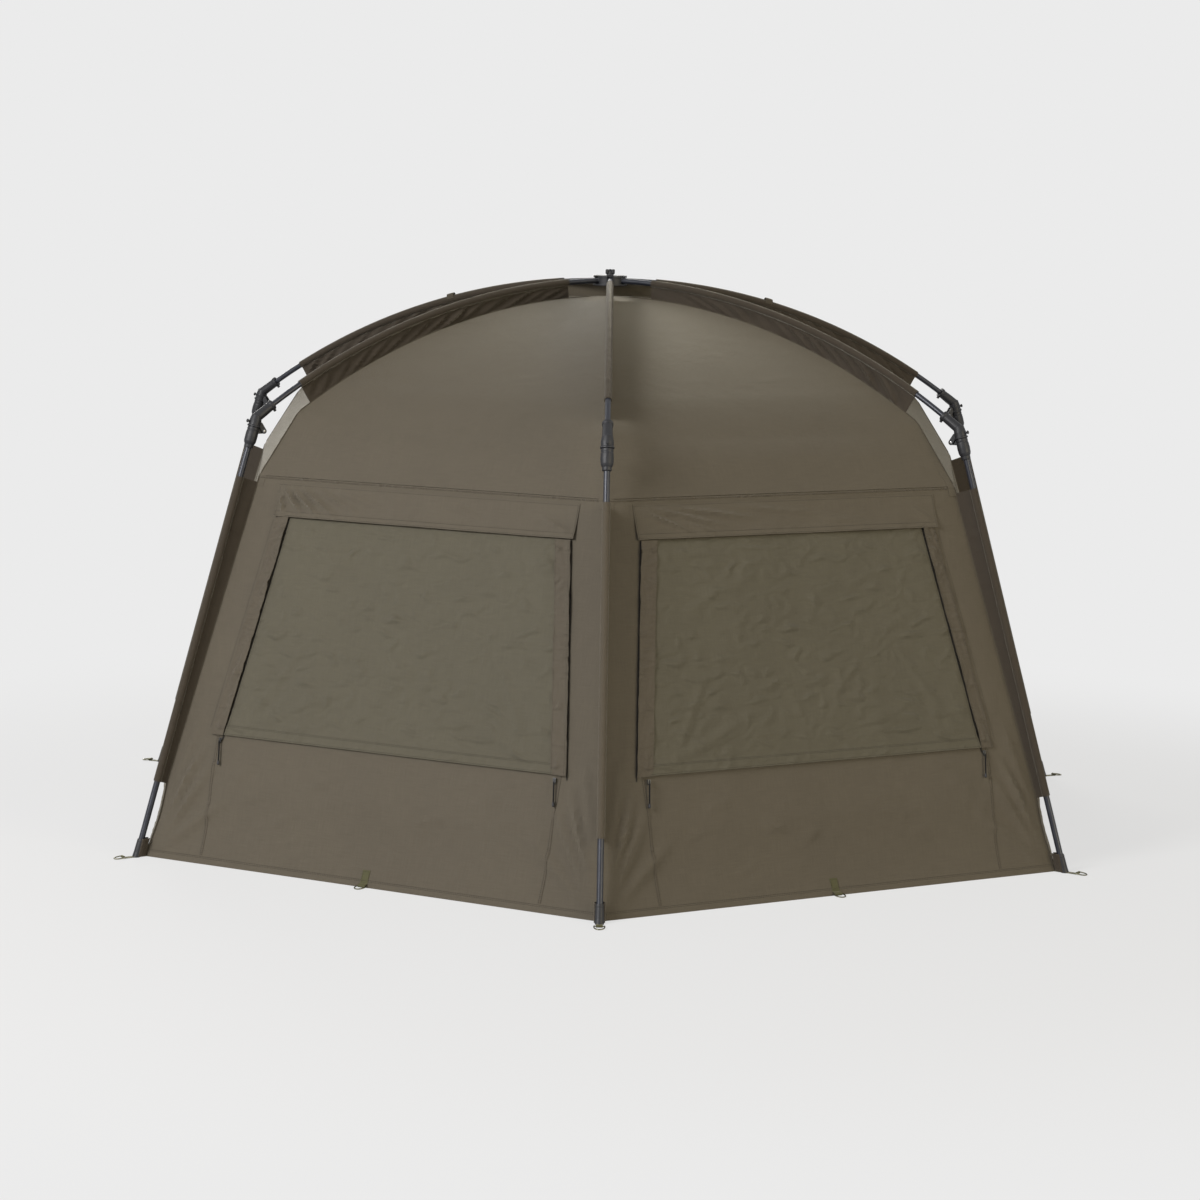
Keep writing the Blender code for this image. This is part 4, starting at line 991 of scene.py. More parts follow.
def makeWall(panel, label, holder, near, far):
    key, body, hem = panel.key, f"lower_leg_{holder}", spread(0.0, 3, 0.02)
    middle = 0.62  # the columns up to here run over the opening
    if panel.inner:
        low, high, sides, columns = netFoot, netTop, 16, 74
        vs = hem + spread(hem[-1], 30, low, 40, high, 12, wallTop)[1:]
    elif key == "front":
        low, high, sides, columns = -1.0, door["top"], 40, 34
        vs = hem + spread(hem[-1], 58, high, 6, wallTop)[1:]
    else:
        low, high, sides, columns = -1.0, -1.0, 18, 50
        vs = hem + spread(hem[-1], 66, wallTop)[1:]
    us = between(spread(-1.0, sides, -middle, columns, middle, sides, 1.0), near, far)

    def opening(z):
        if panel.inner:
            return netEdge(z)
        return doorEdge(z) if key == "front" else panel.edge(z) * middle

    def across(u, z):
        inside = opening(z)
        if abs(u) <= middle:
            return u / middle * inside
        share = (abs(u) - middle) / (1 - middle)
        return math.copysign(inside + (panel.edge(z) - inside) * share, u)

    def at(u, z):
        return panel.at(across(u, z), z, hemLift(z))

    def kept(u, z):
        return abs(u) > middle or not low < z < high

    shape = Shape()
    cloth(shape, us, vs, at, clothDepth, kept, lambda u, z: (across(u, z), z))
    nodes = [f"wall_{key}"] if holder == panel.holder else []
    sheet = makePiece(f"wall_cloth_{label}", shape, "canopyCloth", body, nodes, "canopy_fabric", panel.frame)
    parts = sewWall(panel, label, body, near, far)
    height = math.hypot(seamTop, (shelter["hem"].x - shelter["seam"].x) * math.cos(panel.half))
    area = (panel.edge(0.0) + panel.edge(seamTop)) * height
    stretch = height / seamTop
    if panel.inner:
        area -= (opening(low) + opening(high)) * (high - low) * stretch
    if key == "front":
        area -= (door["topHalf"] + door["footHalf"]) * door["top"] * stretch
    share = (far - near) / 2
    return sheet, parts, (2 * panel.edge(0.0) * share, height, area * share)


# Sewn strips and zips beside the openings
strip = {
    "cloth": 0.0008,
    "wave": (0.0054, 1.2, 18.0),
    "slant": 0.03,
    "crumple": (0.0060, 12.0, 26.0),
    "step": 0.008,
    "rows": (0.06, 0.86, 0.96),
    "besideWindow": (0.0018, 0.0042),  # lift, and more of it along the near edge
    "besideDoor": (0.0012, 0.0022),
}
zipTape = {
    "width": 0.0044,
    "narrow": 0.0030,
    "rise": 0.0003,
    "lift": 0.0004,
    "step": 0.012,
    "outer": 0.0024,  # how far beside the cover's edge
    "inner": 0.0338,
    "below": 0.008,
    "besideDoor": 0.0003,
}
zipTeeth = {"pitch": 0.0016, "lift": 0.0010, "radii": (0.0007, 0.0011)}


def makeStrip(panel, side, edgeAt, ends, name, body, lift, near, far=0.0, overlap=0.0):
    foot, top = ends
    gap, wide = window["stripGap"] - overlap, window["stripWidth"] + overlap
    heights = spread(foot, int((top - foot) / strip["step"]), top)

    def at(q, z):
        wave = waved(strip["wave"], q, z + strip["slant"] * q, panel.seed + side * 3)
        wave += crushed(strip["crumple"], q * 0.06 + z * 0.5, z, panel.seed + 20)
        rise = lift + near * (1 - q) ** 2 + far * q ** 2 + abs(wave)
        return panel.at(side * (edgeAt(z) + gap + wide * q), z, rise)

    shape = Shape()
    cloth(shape, spread(0.0, 8, 1.0), heights, at, strip["cloth"], None, lambda q, z: (q * wide + 0.5, z))
    band = makePiece(name, shape, "stripCloth", body, where=panel.frame)
    rows = [[(at(q, z), panel.out) for z in heights] for q in strip["rows"]]
    return [band, sew(name + "_thread", rows, body, panel.frame)]


def makeZip(panel, side, edgeAt, shift, ends, name, body, width=zipTape["width"]):
    foot, top = ends
    shape = Shape()

    def at(z, lift):
        return panel.at(side * (edgeAt(z) + shift), z, lift)

    heights = spread(foot, int((top - foot) / zipTape["step"]), top)
    ribbon(shape, [(at(z, zipTape["lift"]), panel.out) for z in heights], width, zipTape["rise"])
    teeth = spread(foot, int((top - foot) / zipTeeth["pitch"]), top)
    radii = [zipTeeth["radii"][i % 2] for i in range(len(teeth))]
    tube(shape, [at(z, zipTeeth["lift"]) for z in teeth], radii, 6)
    return makePiece(name, shape, "zipTape", body, slot="zip_black", where=panel.frame)


# Window covers
cover = {
    "cloth": 0.0009,
    "lift": 0.0014,
    "hemDepth": 0.024,
    "hemLift": 0.0013,
    "flare": 0.0034,  # how far the hem stands off the wall
    "flareHeight": 0.07,
    "base": 0.0016,
    "broad": (0.0046, 2.6, 3.4),
    "large": (0.0036, 5.0, 9.0),
    "small": (0.0020, 12.0, 17.0),
    "folds": 2.0,
    "fadeSide": 0.03,
    "fadeTop": 0.03,
    "fadeFoot": 0.04,
    "rough": {1: 1.0, -1: 0.6},  # the right cover lies smoother
    "footRow": 0.0030,
    "hemRows": (0.002, 0.0048),  # below the top of the hem
    "sideRow": 0.99,
    "stripLift": 0.0030,
    "stripOverlap": 0.007,
    "stripShort": 0.006,
    "flatLength": 0.514,
}
coverFolds = [
    (-0.40, 0.30, -0.10, 0.42, 0.010, 0.0026),
    (-0.38, 0.31, -0.24, 0.52, 0.009, 0.0020),
    (0.40, 0.30, 0.14, 0.40, 0.010, 0.0026),
    (0.37, 0.31, 0.26, 0.50, 0.008, 0.0020),
    (-0.05, 0.46, 0.05, 0.47, 0.006, 0.0022),
    (0.05, 0.47, 0.13, 0.455, 0.005, 0.0020),
    (-0.14, 0.50, -0.07, 0.44, 0.005, 0.0018),
    (0.02, 0.36, 0.05, 0.44, 0.006, 0.0015),
    (0.06, 0.35, 0.20, 0.36, 0.006, 0.0018),
    (-0.22, 0.36, -0.12, 0.335, 0.005, 0.0015),
    (0.21, 0.66, 0.31, 0.62, 0.007, 0.0018),
    (0.10, 0.70, 0.20, 0.665, 0.007, 0.0016),
    (-0.25, 0.70, -0.12, 0.66, 0.008, 0.0016),
    (-0.30, 0.60, -0.22, 0.56, 0.007, 0.0014),
]


def makeCover(panel):
    key, side, seed, body = panel.key, panel.inner, panel.seed, f"cover_{panel.key}"
    foot, top, hem = window["coverFoot"], window["coverTop"], cover["hemDepth"]

    def lift(s, z):
        inside = clamp((coverEdge(z) - abs(s)) / cover["fadeSide"]) * clamp((top - z) / cover["fadeTop"])
        inside *= clamp((z - foot) / cover["fadeFoot"])
        rise = cover["base"] + abs(waved(cover["broad"], s, z, seed + 11))
        rough = crushed(cover["large"], s, z, seed + 12) + crushed(cover["small"], s, z, seed + 13)
        rise += cover["rough"][side] * rough
        rise += cover["folds"] * creases(coverFolds, s * side, z)
        loose = cover["flare"] * (1 - clamp((z - foot) / cover["flareHeight"])) ** 2
        return cover["lift"] + inside * rise + loose + cover["hemLift"] * (1 - stepAt(z, foot + hem))

    def at(u, z):
        return panel.at(u * coverEdge(z), z, lift(u * coverEdge(z), z))

    shape = Shape()
    rows = spread(foot, 8, foot + hem + 0.001, 62, top)
    cloth(shape, spread(-1.0, 116, 1.0), rows, at, cover["cloth"], None, lambda u, z: (u * coverEdge(z), z))
    nodes = [f"window_cover_{key}"]
    sheet = makePiece(f"cover_cloth_{key}", shape, "coverCloth", body, nodes, "cover_fabric", panel.frame)
    levels = [cover["footRow"]] + [hem - below for below in cover["hemRows"]]
    rows = [[(at(u, foot + level), panel.out) for u in spread(-1.0, 80, 1.0)] for level in levels]
    sides = (-cover["sideRow"], cover["sideRow"])
    rows += [[(at(u, z), panel.out) for z in spread(foot, 50, top)] for u in sides]
    parts = [sew(f"cover_thread_{key}", rows, body, panel.frame)]
    ends, rise = (window["stripFoot"], window["stripTop"] - cover["stripShort"]), cover["stripLift"]
    parts += makeStrip(
        panel, side, coverEdge, ends, f"cover_strip_{key}", body, rise, 0.0, rise, cover["stripOverlap"]
    )
    length = cover["flatLength"]
    area = (coverEdge(foot) + coverEdge(top)) * length
    declare(sheet, 2 * coverEdge(foot), length, area, parts)
    return [sheet, *parts]


# Windows: net, binding, zips, rain flap
net = {"cloth": 0.0004, "overlap": 0.006, "sink": -0.0016, "flatLength": 0.483, "openLength": 0.480}
binding = {"width": 0.010, "rise": 0.0007, "lift": 0.0002}
flap = {
    "cloth": 0.0009,
    "base": 0.0016,
    "flare": 0.0066,
    "flarePower": 2.4,
    "waves": 0.0030,
    "waveScale": (9.0, 3.0),
    "folds": 3.4,
    "crumple": (0.0020, 12.0, 20.0),
    "fadeSide": 0.012,
    "fadeTop": 0.15,
    "hemLift": 0.0006,
    "hemDepth": 0.014,
    "rows": (0.0025, 0.0115, 0.0720),
    "sideRow": 0.003,
}
flapFolds = {
    "rear_left": [
        (0.388, 0.835, 0.368, 0.784, 0.0045, 0.0030),
        (0.382, 0.850, 0.318, 0.786, 0.0050, 0.0034),
        (0.362, 0.850, 0.272, 0.784, 0.0050, 0.0034),
        (0.338, 0.852, 0.225, 0.786, 0.0055, 0.0030),
        (0.300, 0.850, 0.170, 0.800, 0.0055, 0.0022),
        (0.240, 0.846, 0.110, 0.815, 0.0060, 0.0016),
        (-0.060, 0.835, -0.150, 0.808, 0.0060, 0.0012),
        (-0.300, 0.825, -0.385, 0.790, 0.0055, 0.0020),
    ],
    "rear_right": [
        (-0.385, 0.845, -0.255, 0.790, 0.0050, 0.0026),
        (-0.375, 0.852, -0.165, 0.802, 0.0055, 0.0026),
        (-0.330, 0.852, -0.080, 0.816, 0.0055, 0.0022),
        (-0.300, 0.822, -0.190, 0.786, 0.0050, 0.0018),
        (-0.140, 0.846, 0.060, 0.824, 0.0060, 0.0014),
        (0.080, 0.812, 0.200, 0.800, 0.0060, 0.0010),
        (0.330, 0.830, 0.385, 0.795, 0.0050, 0.0012),
    ],
}


def makeNet(panel):
    key, body, extra = panel.key, panel.lower, net["overlap"]
    shape = Shape()
    cloth(
        shape, spread(-1.0, 30, 1.0), spread(netFoot - extra, 20, netTop + extra),
        lambda u, z: panel.at(u * (netEdge(z) + extra), z, net["sink"]), net["cloth"], None,
        lambda u, z: (u * netEdge(z), z),
    )
    sheet = makePiece(f"window_net_{key}", shape, "netCloth", body, where=panel.frame)
    wide, narrow = netEdge(netFoot), netEdge(netTop)
    area = (wide + narrow + 2 * extra) * net["openLength"]
    declare(sheet, 2 * wide + 2 * extra, net["flatLength"], area)
    edge = Shape()
    corners = [(-wide, netFoot), (wide, netFoot), (narrow, netTop), (-narrow, netTop)]
    for a, b in zip(corners, corners[1:] + corners[:1]):
        ribbon(edge, panel.line((a, b)), binding["width"], binding["rise"], binding["lift"])
    return sheet, makePiece(f"window_binding_{key}", edge, "seamTape", body, where=panel.frame)


def makeFlap(panel):
    key, body = panel.key, panel.lower
    foot, top = window["flapFoot"], window["flapTop"]
    edge = panel.edge(foot) - window["flapMargin"]

    def at(s, z):
        down = clamp((top - z) / (top - foot))
        rise = flap["base"] + flap["flare"] * down ** flap["flarePower"]
        rise += flap["waves"] * down * soft(s, z, panel.seed + 30, *flap["waveScale"])
        inside = clamp((edge - abs(s)) / flap["fadeSide"]) * clamp(down / flap["fadeTop"])
        wrinkle = flap["folds"] * creases(flapFolds[key], -s * panel.inner, z)
        wrinkle += crushed(flap["crumple"], s, z, panel.seed + 31)
        hem = flap["hemLift"] * (1 - stepAt(z, foot + flap["hemDepth"]))
        return panel.at(s, z, rise + inside * wrinkle + hem)

    shape = Shape()
    heights = spread(foot, 16, top)
    cloth(shape, spread(-edge, 110, edge), heights, at, flap["cloth"])
    sheet = makePiece(f"rain_flap_{key}", shape, "canopyCloth", body, where=panel.frame)
    rows = [[(at(s, foot + level), panel.out) for s in spread(-edge, 80, edge)] for level in flap["rows"]]
    ends = (flap["sideRow"] - edge, edge - flap["sideRow"])
    rows += [[(at(end, z), panel.out) for z in heights] for end in ends]
    return [sheet, sew(f"rain_flap_thread_{key}", rows, body, panel.frame)]


# Webbing and peg rings
pegRing = {"half": 0.0116, "reach": 0.0215, "wire": 0.0014, "height": 0.0034, "bend": 0.0025, "steps": 28}
hemTab = {
    "reach": 0.0037,
    "half": 0.0095,
    "crown": 0.0008,
    "top": 0.036,
    "foot": 0.009,
    "sewn": (0.033, 0.014),
    "sewnHalf": 0.008,
    "lift": 0.0006,
    "rowLifts": (0.0014, 0.0012),
    "stitch": {"pitch": 0.0035, "length": 0.0026},
}


def webbingBand(path, half, crown):
    shape, rise = Shape(), 0.0005
    profile = ((-half, rise), (0.0, crown), (half, rise), (half, -rise), (-half, -rise))
    loops(shape, [[point + xWay * x + normal * y for x, y in profile] for point, normal in path])
    return shape


def makeHemTab(panel):
    key, body, out, half = panel.key, panel.lower, panel.out, hemTab["sewnHalf"]
    path = [(panel.at(0.0, z, hemTab["lift"]), out) for z in spread(hemTab["top"], 6, hemTab["foot"])]
    centre = Vector((0.0, -panel.distance(0.0) - hemTab["reach"], pegRing["height"]))
    for i in range(13):
        turn = math.radians(60 - 25 * i)
        way = Vector((0.0, math.cos(turn + math.pi), math.sin(turn)))
        path.append((centre + way * pegRing["bend"], way))
    shape = webbingBand(path, hemTab["half"], hemTab["crown"])
    tab = makePiece(f"hem_tab_{key}", shape, "webbing", body, where=panel.frame)
    level, steep = hemTab["rowLifts"]
    rows = [[(panel.at(s, z, level), out) for s in (-half, 0.0, half)] for z in hemTab["sewn"]]
    rows += [[(panel.at(s, z, steep), out) for z in hemTab["sewn"]] for s in (-half, half)]
    return [tab, sew(f"hem_tab_thread_{key}", rows, body, panel.frame, **hemTab["stitch"])]


def makeWindow(panel):
    key, side, body = panel.key, panel.inner, panel.lower
    sheet, edge = makeNet(panel)
    ends = (window["stripFoot"] - zipTape["below"], window["coverTop"])
    stripEnds, narrow = (window["stripFoot"], window["stripTop"]), zipTape["narrow"]
    parts = [
        edge,
        makeZip(panel, -side, coverEdge, zipTape["outer"], ends, f"zip_outer_{key}", body),
        makeZip(panel, side, coverEdge, zipTape["inner"], ends, f"zip_inner_{key}", body, narrow),
        *makeStrip(panel, -side, coverEdge, stripEnds, f"wall_strip_{key}", body, *strip["besideWindow"]),
        *makeFlap(panel),
        *makeHemTab(panel),
    ]
    return sheet, parts


# Zip sliders and their pull cords
sliderForm = {
    "beside": 0.0058,
    "lift": 0.0026,
    "outline": [
        (-0.0040, 0.0050), (-0.0026, 0.0065), (0.0026, 0.0065), (0.0040, 0.0050),
        (0.0032, -0.0020), (0.0030, -0.0065), (-0.0030, -0.0065), (-0.0032, -0.0020),
    ],
    "plates": ((0.0003, 0.0014, 1.0), (0.0020, 0.0034, 0.94)),  # from, to, share of the outline
    "web": ((-0.001, -0.003), (0.001, -0.003), (0.001, 0.004), (-0.001, 0.004)),
    "webHeights": (0.0012, 0.0022),
    "bridge": 0.0008,
    "arch": (0.0045, 0.0032, 0.0017),  # half its length, its foot and its rise
    "along": 0.013,
    "bevel": 0.0003,
    "exit": (0.0, -0.00325, 0.00405),
}
cordForm = {
    "length": 0.052,
    "radius": 0.0018,
    "twist": 0.00012,
    "twistTurn": 2.4,
    "steps": 16,
    "slant": -0.14,
    "overlap": 0.0080,
    "end": [(0.0, 0.0), (0.0024, 0.0), (0.0030, 0.0025), (0.0030, 0.0080), (0.0018, 0.0098), (0.0, 0.0098)],
    "endRound": 0.0006,
}


def makeSlider(panel, side, edgeAt, height, name, nodeName, body):
    def onStrip(z):
        spot = Vector((side * (edgeAt(z) + sliderForm["beside"]), -panel.distance(z), z))
        return spot + panel.out * sliderForm["lift"]

    start = onStrip(height)
    up = (onStrip(height + sliderForm["along"]) - start).normalized()
    out = up.cross(xWay).normalized()
    out = out if out.y < 0 else -out
    across = out.cross(up).normalized()

    def at(x, y, z):
        return start + across * x + up * y + out * z

    shape = Shape()
    for low, high, grow in sliderForm["plates"]:
        loops(shape, [[at(x * grow, y * grow, z) for x, y in sliderForm["outline"]] for z in (low, high)])
    loops(shape, [[at(x, y, z) for x, y in sliderForm["web"]] for z in sliderForm["webHeights"]])
    half, low, rise = sliderForm["arch"]
    bridge = [at(0.0, half * math.cos(t), low + rise * math.sin(t)) for t in spread(0.0, 10, math.pi)]
    tube(shape, bridge, sliderForm["bridge"], 8)
    looks = ("zip_black", panel.frame, sliderForm["bevel"])
    slider = makePiece(name, shape, "zipMetal", body, [nodeName], *looks)

    cordStart, length, steps = at(*sliderForm["exit"]), cordForm["length"], cordForm["steps"]
    fall = Vector((cordForm["slant"] * panel.inner, panel.out.z, -panel.out.y)).normalized()
    path = [cordStart - fall * (length * i / steps) for i in range(steps + 1)]
    twists = [cordForm["twist"] * math.sin(i * cordForm["twistTurn"]) for i in range(steps + 1)]
    radii = [cordForm["radius"] + twist for twist in twists]
    shape = Shape()
    tube(shape, path, radii, 10)
    pull = makePiece(name + "_pull", shape, "pullCord", body, slot="zip_black", where=panel.frame)
    shape = Shape()
    profile = fillet(cordForm["end"], cordForm["endRound"])
    lathe(shape, profile, path[-1] + fall * cordForm["overlap"], -fall, 14)
    tip = makePiece(name + "_end", shape, "mouldedPlastic", body, where=panel.frame)
    return [slider, pull, tip]


# Door
doorSewing = {
    "seams": (-0.34, 0.34),  # shares of the door's half width
    "rows": (-0.345, -0.335, 0.335, 0.345, -0.97, 0.97),
    "rowLift": 0.0006,
    "topRow": 0.006,
    "crumple": (0.0008, 7.0, 9.0),
    "crumpleSeed": 61,
}


def makeDoor(panel):
    top, frame, out = door["top"] - door["gap"], panel.frame, panel.out

    def at(u, z):
        s = u * (doorEdge(z) - door["gap"])
        rough = crushed(doorSewing["crumple"], s, z, doorSewing["crumpleSeed"]) * (1 - abs(u))
        return panel.at(s, z, hemLift(z) + rough)

    shape = Shape()
    heights = spread(0.0, 3, 0.02, 60, top)
    cloth(shape, spread(-1.0, 60, 1.0), heights, at, clothDepth, None, lambda u, z: (u * doorEdge(z), z))
    sheet = makePiece("door_cloth", shape, "canopyCloth", "door", ["door"], "canopy_fabric", frame)
    tape, heights = Shape(), spread(0.02, 50, top)
    for u in doorSewing["seams"]:
        ribbon(tape, [(at(u, z), out) for z in heights], *sewing["joinTape"])
    rows = [[(at(u, z) + out * doorSewing["rowLift"], out) for z in heights] for u in doorSewing["rows"]]
    levels = (*sewing["hemRows"], top - doorSewing["topRow"])
    rows += [[(at(u, z), out) for u in spread(-1.0, 60, 1.0)] for z in levels]
    parts = [
        makePiece("door_seams", tape, "stripCloth", "door", where=frame),
        sew("door_thread", rows, "door", frame),
    ]
    height = top * math.hypot(1.0, out.z / -out.y)
    area = (door["footHalf"] + door["topHalf"]) * height
    declare(sheet, 2 * door["footHalf"], height, area, parts)
    return [sheet, *parts]


def makeDoorSide(panel, side, letter, body):
    stripEnds, zipEnds = (0.001, door["top"]), (0.002, door["top"] - 0.003)
    return [
        *makeStrip(panel, side, doorEdge, stripEnds, f"door_strip_{letter}", body, *strip["besideDoor"]),
        makeZip(panel, side, doorEdge, zipTape["besideDoor"], zipEnds, f"door_zip_tape_{letter}", body),
    ]


# Roof
roofSewing = {
    "start": 0.004,  # distances from the hub's axis
    "shoulder": 0.832,
    "row": 0.951,
    "tapeEnds": (0.06, 0.958),
    "tape": (0.0085, 0.0008),
    "tapeLift": 0.0002,
    "rows": (-0.0028, 0.0028),
    "rowLift": 0.0009,
}


def makeRoof(panel, label, holder, near, far):
    key, body, half = panel.key, f"upper_leg_{holder}", math.sin(panel.half)
    us = between(spread(-1.0, 100 if key == "front" else 84, 1.0), near, far)
    start, shoulder = roofSewing["start"], roofSewing["shoulder"]
    ds = spread(start, 12, shelter["ridgeStart"], 66, shoulder, 16, shelter["seam"].x)
    shape = Shape()
    flat = lambda u, d: (u * d * half, 1.25 * d)
    cloth(shape, us, ds, lambda u, d: panel.roofAt(u, d)[0], clothDepth, None, flat)
    nodes = ["canopy_roof"] if key == "rear_left" else []
    sheet = makePiece(f"roof_cloth_{label}", shape, "roofCloth", body, nodes, "canopy_fabric", panel.frame)
    parts = []
    rows = [[panel.roofAt(u, roofSewing["row"]) for u in spread(near, 90, far)]]
    if key == "front" and holder == panel.holder:  # the sewn join down the middle of the front
        start, end = roofSewing["tapeEnds"]
        tape, stops = Shape(), spread(start, 80, end)
        ribbon(tape, [panel.roofAt(0.0, d, roofSewing["tapeLift"]) for d in stops], *roofSewing["tape"])
        parts.append(makePiece("roof_front_seam", tape, "stripCloth", body, where=panel.frame))
        line = [panel.roofAt(0.0, d, roofSewing["rowLift"]) for d in stops]
        rows += [[(point + xWay * shift, normal) for point, normal in line] for shift in roofSewing["rows"]]
    parts.append(sew(f"roof_thread_{label}", rows, body, panel.frame))
    length, area = 0.0, 0.0
    for a, b in zip(ds, ds[1:]):
        low, high = ridgePoint(a), ridgePoint(b)
        length += (high - low).length
        step = math.hypot((high.x - low.x) * math.cos(panel.half), high.y - low.y)
        area += (low.x + high.x) * half * step
    share = (far - near) / 2
    width = 2 * shelter["seam"].x * half * share
    declare(sheet, width, length, area * share, parts)
    return [sheet, *parts]


def makePanel(panel, label, holder, near, far):
    wall, parts, (width, height, area) = makeWall(panel, label, holder, near, far)
    key, way, sliders, apart = panel.key, panel.foldWay(holder), [], []
    if panel.inner:
        sheet, more = makeWindow(panel)
        parts += more
        apart = [sheet]
        foldWith(makeCover(panel), way)
        sliders = [
            (side, coverEdge, window["sliderRest"], f"window_slider_{key}_{letter}",
             f"zip_slider_{key}_{letter}", f"slider_{key}_{letter}")
            for side, letter in ((-1, "a"), (1, "b"))
        ]
    if key == "front":
        side, letter = (1, "b") if holder == panel.holder else (-1, "a")
        parts += makeDoorSide(panel, side, letter, f"lower_leg_{holder}")
    if key == "front" and holder == panel.holder:
        sliders = [
            (side, doorEdge, door["sliderRest"], f"door_zip_slider_{letter}",
             f"door_slider_{letter}", f"door_slider_{letter}")
            for side, letter in ((-1, "a"), (1, "b"))
        ]
    for values in sliders:
        foldWith(makeSlider(panel, *values), way)
    if key == "front" and holder == panel.holder:
        foldWith(makeDoor(panel), way)
    declare(wall, width, height, area, parts)
    foldWith([wall, *parts, *apart], way)
    loose = near if holder == panel.holder else far  # the side away from the leg that carries it
    foldWith(makeRoof(panel, label, holder, near, far), panel.roofFoldWay(holder, loose))


for key, panel in walls.items():
    if key == "front":  # the wide front is made in two halves, each carried by its own leg
        makePanel(panel, "front_right", "front_right", -1.0, 0.0)
        makePanel(panel, "front_left", "front_left", 0.0, 1.0)
    else:
        makePanel(panel, key, panel.holder, -1.0, 1.0)
    print("panel made:", key)

# Legs. Profiles hold (radius, distance along the axis), flat outlines (out of the leg, down the leg).
poleForm = {
    "archRadius": 0.0065,
    "legRadius": 0.0070,
    "eye": [(0.0, -0.0068), (0.0065, -0.0068), (0.0065, 0.0068), (0.0, 0.0068)],
    "eyeRound": 0.0008,
    "legStart": 0.0123,
    "legShort": 0.006,
    "tabAt": 0.430,
    "tabTurn": 1.5,
    "tabReach": 0.0088,
    "tabBulge": 0.0045,
    "tab": ((-0.0095, 0.0), (-0.0095, 0.0010), (0.0, 0.0013), (0.0095, 0.0010), (0.0095, 0.0)),
}
elbow = {
    "socketLength": 0.052,
    "socketGrip": 0.034,
    "hingeInset": 0.025,
    "hingeDrop": 0.0025,
    "earHalf": 0.004,
    "lugHalf": 0.0083,
    "play": 0.0004,
    "ball": 0.0118,
    "round": 0.0008,
    "bevel": 0.0005,
}
elbowTop = {
    "collar": [(0.0, -0.0059), (0.0118, -0.0059), (0.0140, 0.0080), (0.0140, 0.0186), (0.0158, 0.0190)],
    "collarRadius": 0.0158,
    "collarRound": 0.0009,
    "collarRibs": (8, 0.0007, 0.006, 0.0175),  # count, height, from, to
    "socketRibs": (6, 0.0005, 0.008, 0.040),
    "socket": [
        (0.0, -0.004), (0.0116, -0.004), (0.0112, 0.020), (0.0108, 0.043), (0.0125, 0.0445), (0.0125, 0.0515),
        (0.0068, 0.0520), (0.0068, 0.0500), (0.0, 0.0500),
    ],
    "boss": [(0.0, 0.004), (0.0036, 0.004), (0.0034, 0.0165), (0.0, 0.0170)],
    "bossRound": 0.0007,
    "bossAt": 0.004,
    "lugRound": 0.0062,
    "lug": ((-0.014, -0.015), (-0.007, -0.015), (-0.007, -0.0008), (-0.0135, -0.0008)),
}
elbowFoot = {
    "barrel": [
        (0.0, 0.0), (0.0135, 0.0), (0.0139, 0.006), (0.0134, 0.0075), (0.0134, 0.0095), (0.0141, 0.011),
        (0.0144, 0.022), (0.0140, 0.034), (0.0125, 0.0385), (0.0107, 0.0415), (0.0105, 0.0490),
        (0.0076, 0.0500), (0.0076, 0.0470), (0.0, 0.0470),
    ],
    "barrelRibs": (10, 0.0005, 0.013, 0.033),
    "earRound": 0.0060,
    "ear": ((-0.0068, 0.0145), (-0.0068, 0.0004), (-0.0135, 0.0004)),
    "rivet": [(0.0, -0.0098), (0.0026, -0.0096), (0.0036, -0.0088), (0.0020, -0.0086)],
}
buttonForm = {
    "height": 0.0105,
    "round": 0.0005,
    "ribs": (8, 0.0002, 0.0186, 0.0205),
    "head": [
        (0.0, 0.008), (0.0025, 0.008), (0.0025, 0.0185), (0.0042, 0.0185), (0.0042, 0.0205), (0.0030, 0.0215),
        (0.0, 0.0215),
    ],
}
footForm = {
    "shoe": [
        (0.0071, -0.0020), (0.0086, -0.0020), (0.0092, 0.004), (0.0088, 0.006), (0.0092, 0.008),
        (0.0096, 0.030), (0.0100, 0.0335), (0.0100, 0.046), (0.0, 0.046),
    ],
    "shoeRound": 0.0006,
    "shoeRise": 0.040,
    "shoeRibs": (9, 0.0004, 0.010, 0.030),
    "ringReach": 0.034,
    "strapHalf": 0.0072,
    "strapCrown": 0.0007,
    "strapHeight": 0.0009,
    "strapInside": 0.004,
    "pocketTop": 0.042,
    "pocketCloth": 0.0009,
    "pocketFoot": 0.002,
    "pocketOver": 0.006,  # how far it reaches over the wall's edge
    "pocketReach": 0.019,
    "pocketHalf": 0.004,
    "pocketBulge": 0.0072,
    "pocket": ((0.0, 0.0), (0.35, 0.6), (0.7, 1.0), (0.92, 0.92), (1.0, 0.55)),  # shares of width and bulge
}
hinge = shelter["split"] - outOfLeg * elbow["hingeInset"] + downLeg * elbow["hingeDrop"]
socketTurn = 2 * math.asin(elbow["socketLength"] / (2 * poleArc[1]))
turnToMouth = math.atan2(elbowCorner.x, elbowCorner.y - poleArc[0]) - socketTurn
mouth = Vector((poleArc[1] * math.sin(turnToMouth), poleArc[0] + poleArc[1] * math.cos(turnToMouth)))
upPole = (mouth - elbowCorner).normalized()


def inElbow(out, down):
    return shelter["split"] + outOfLeg * out + downLeg * down


def aroundHinge(degrees, radius):
    turn = math.radians(degrees)
    return hinge + outOfLeg * (radius * math.cos(turn)) - downLeg * (radius * math.sin(turn))


def ribs(count, height, low, high):
    def swell(turn, step):
        if not low < step < high:
            return 0.0
        fade = min(1.0, (step - low) / 0.002, (high - step) / 0.002)
        return height * fade * max(0.0, math.cos(count * turn)) ** 3
    return swell


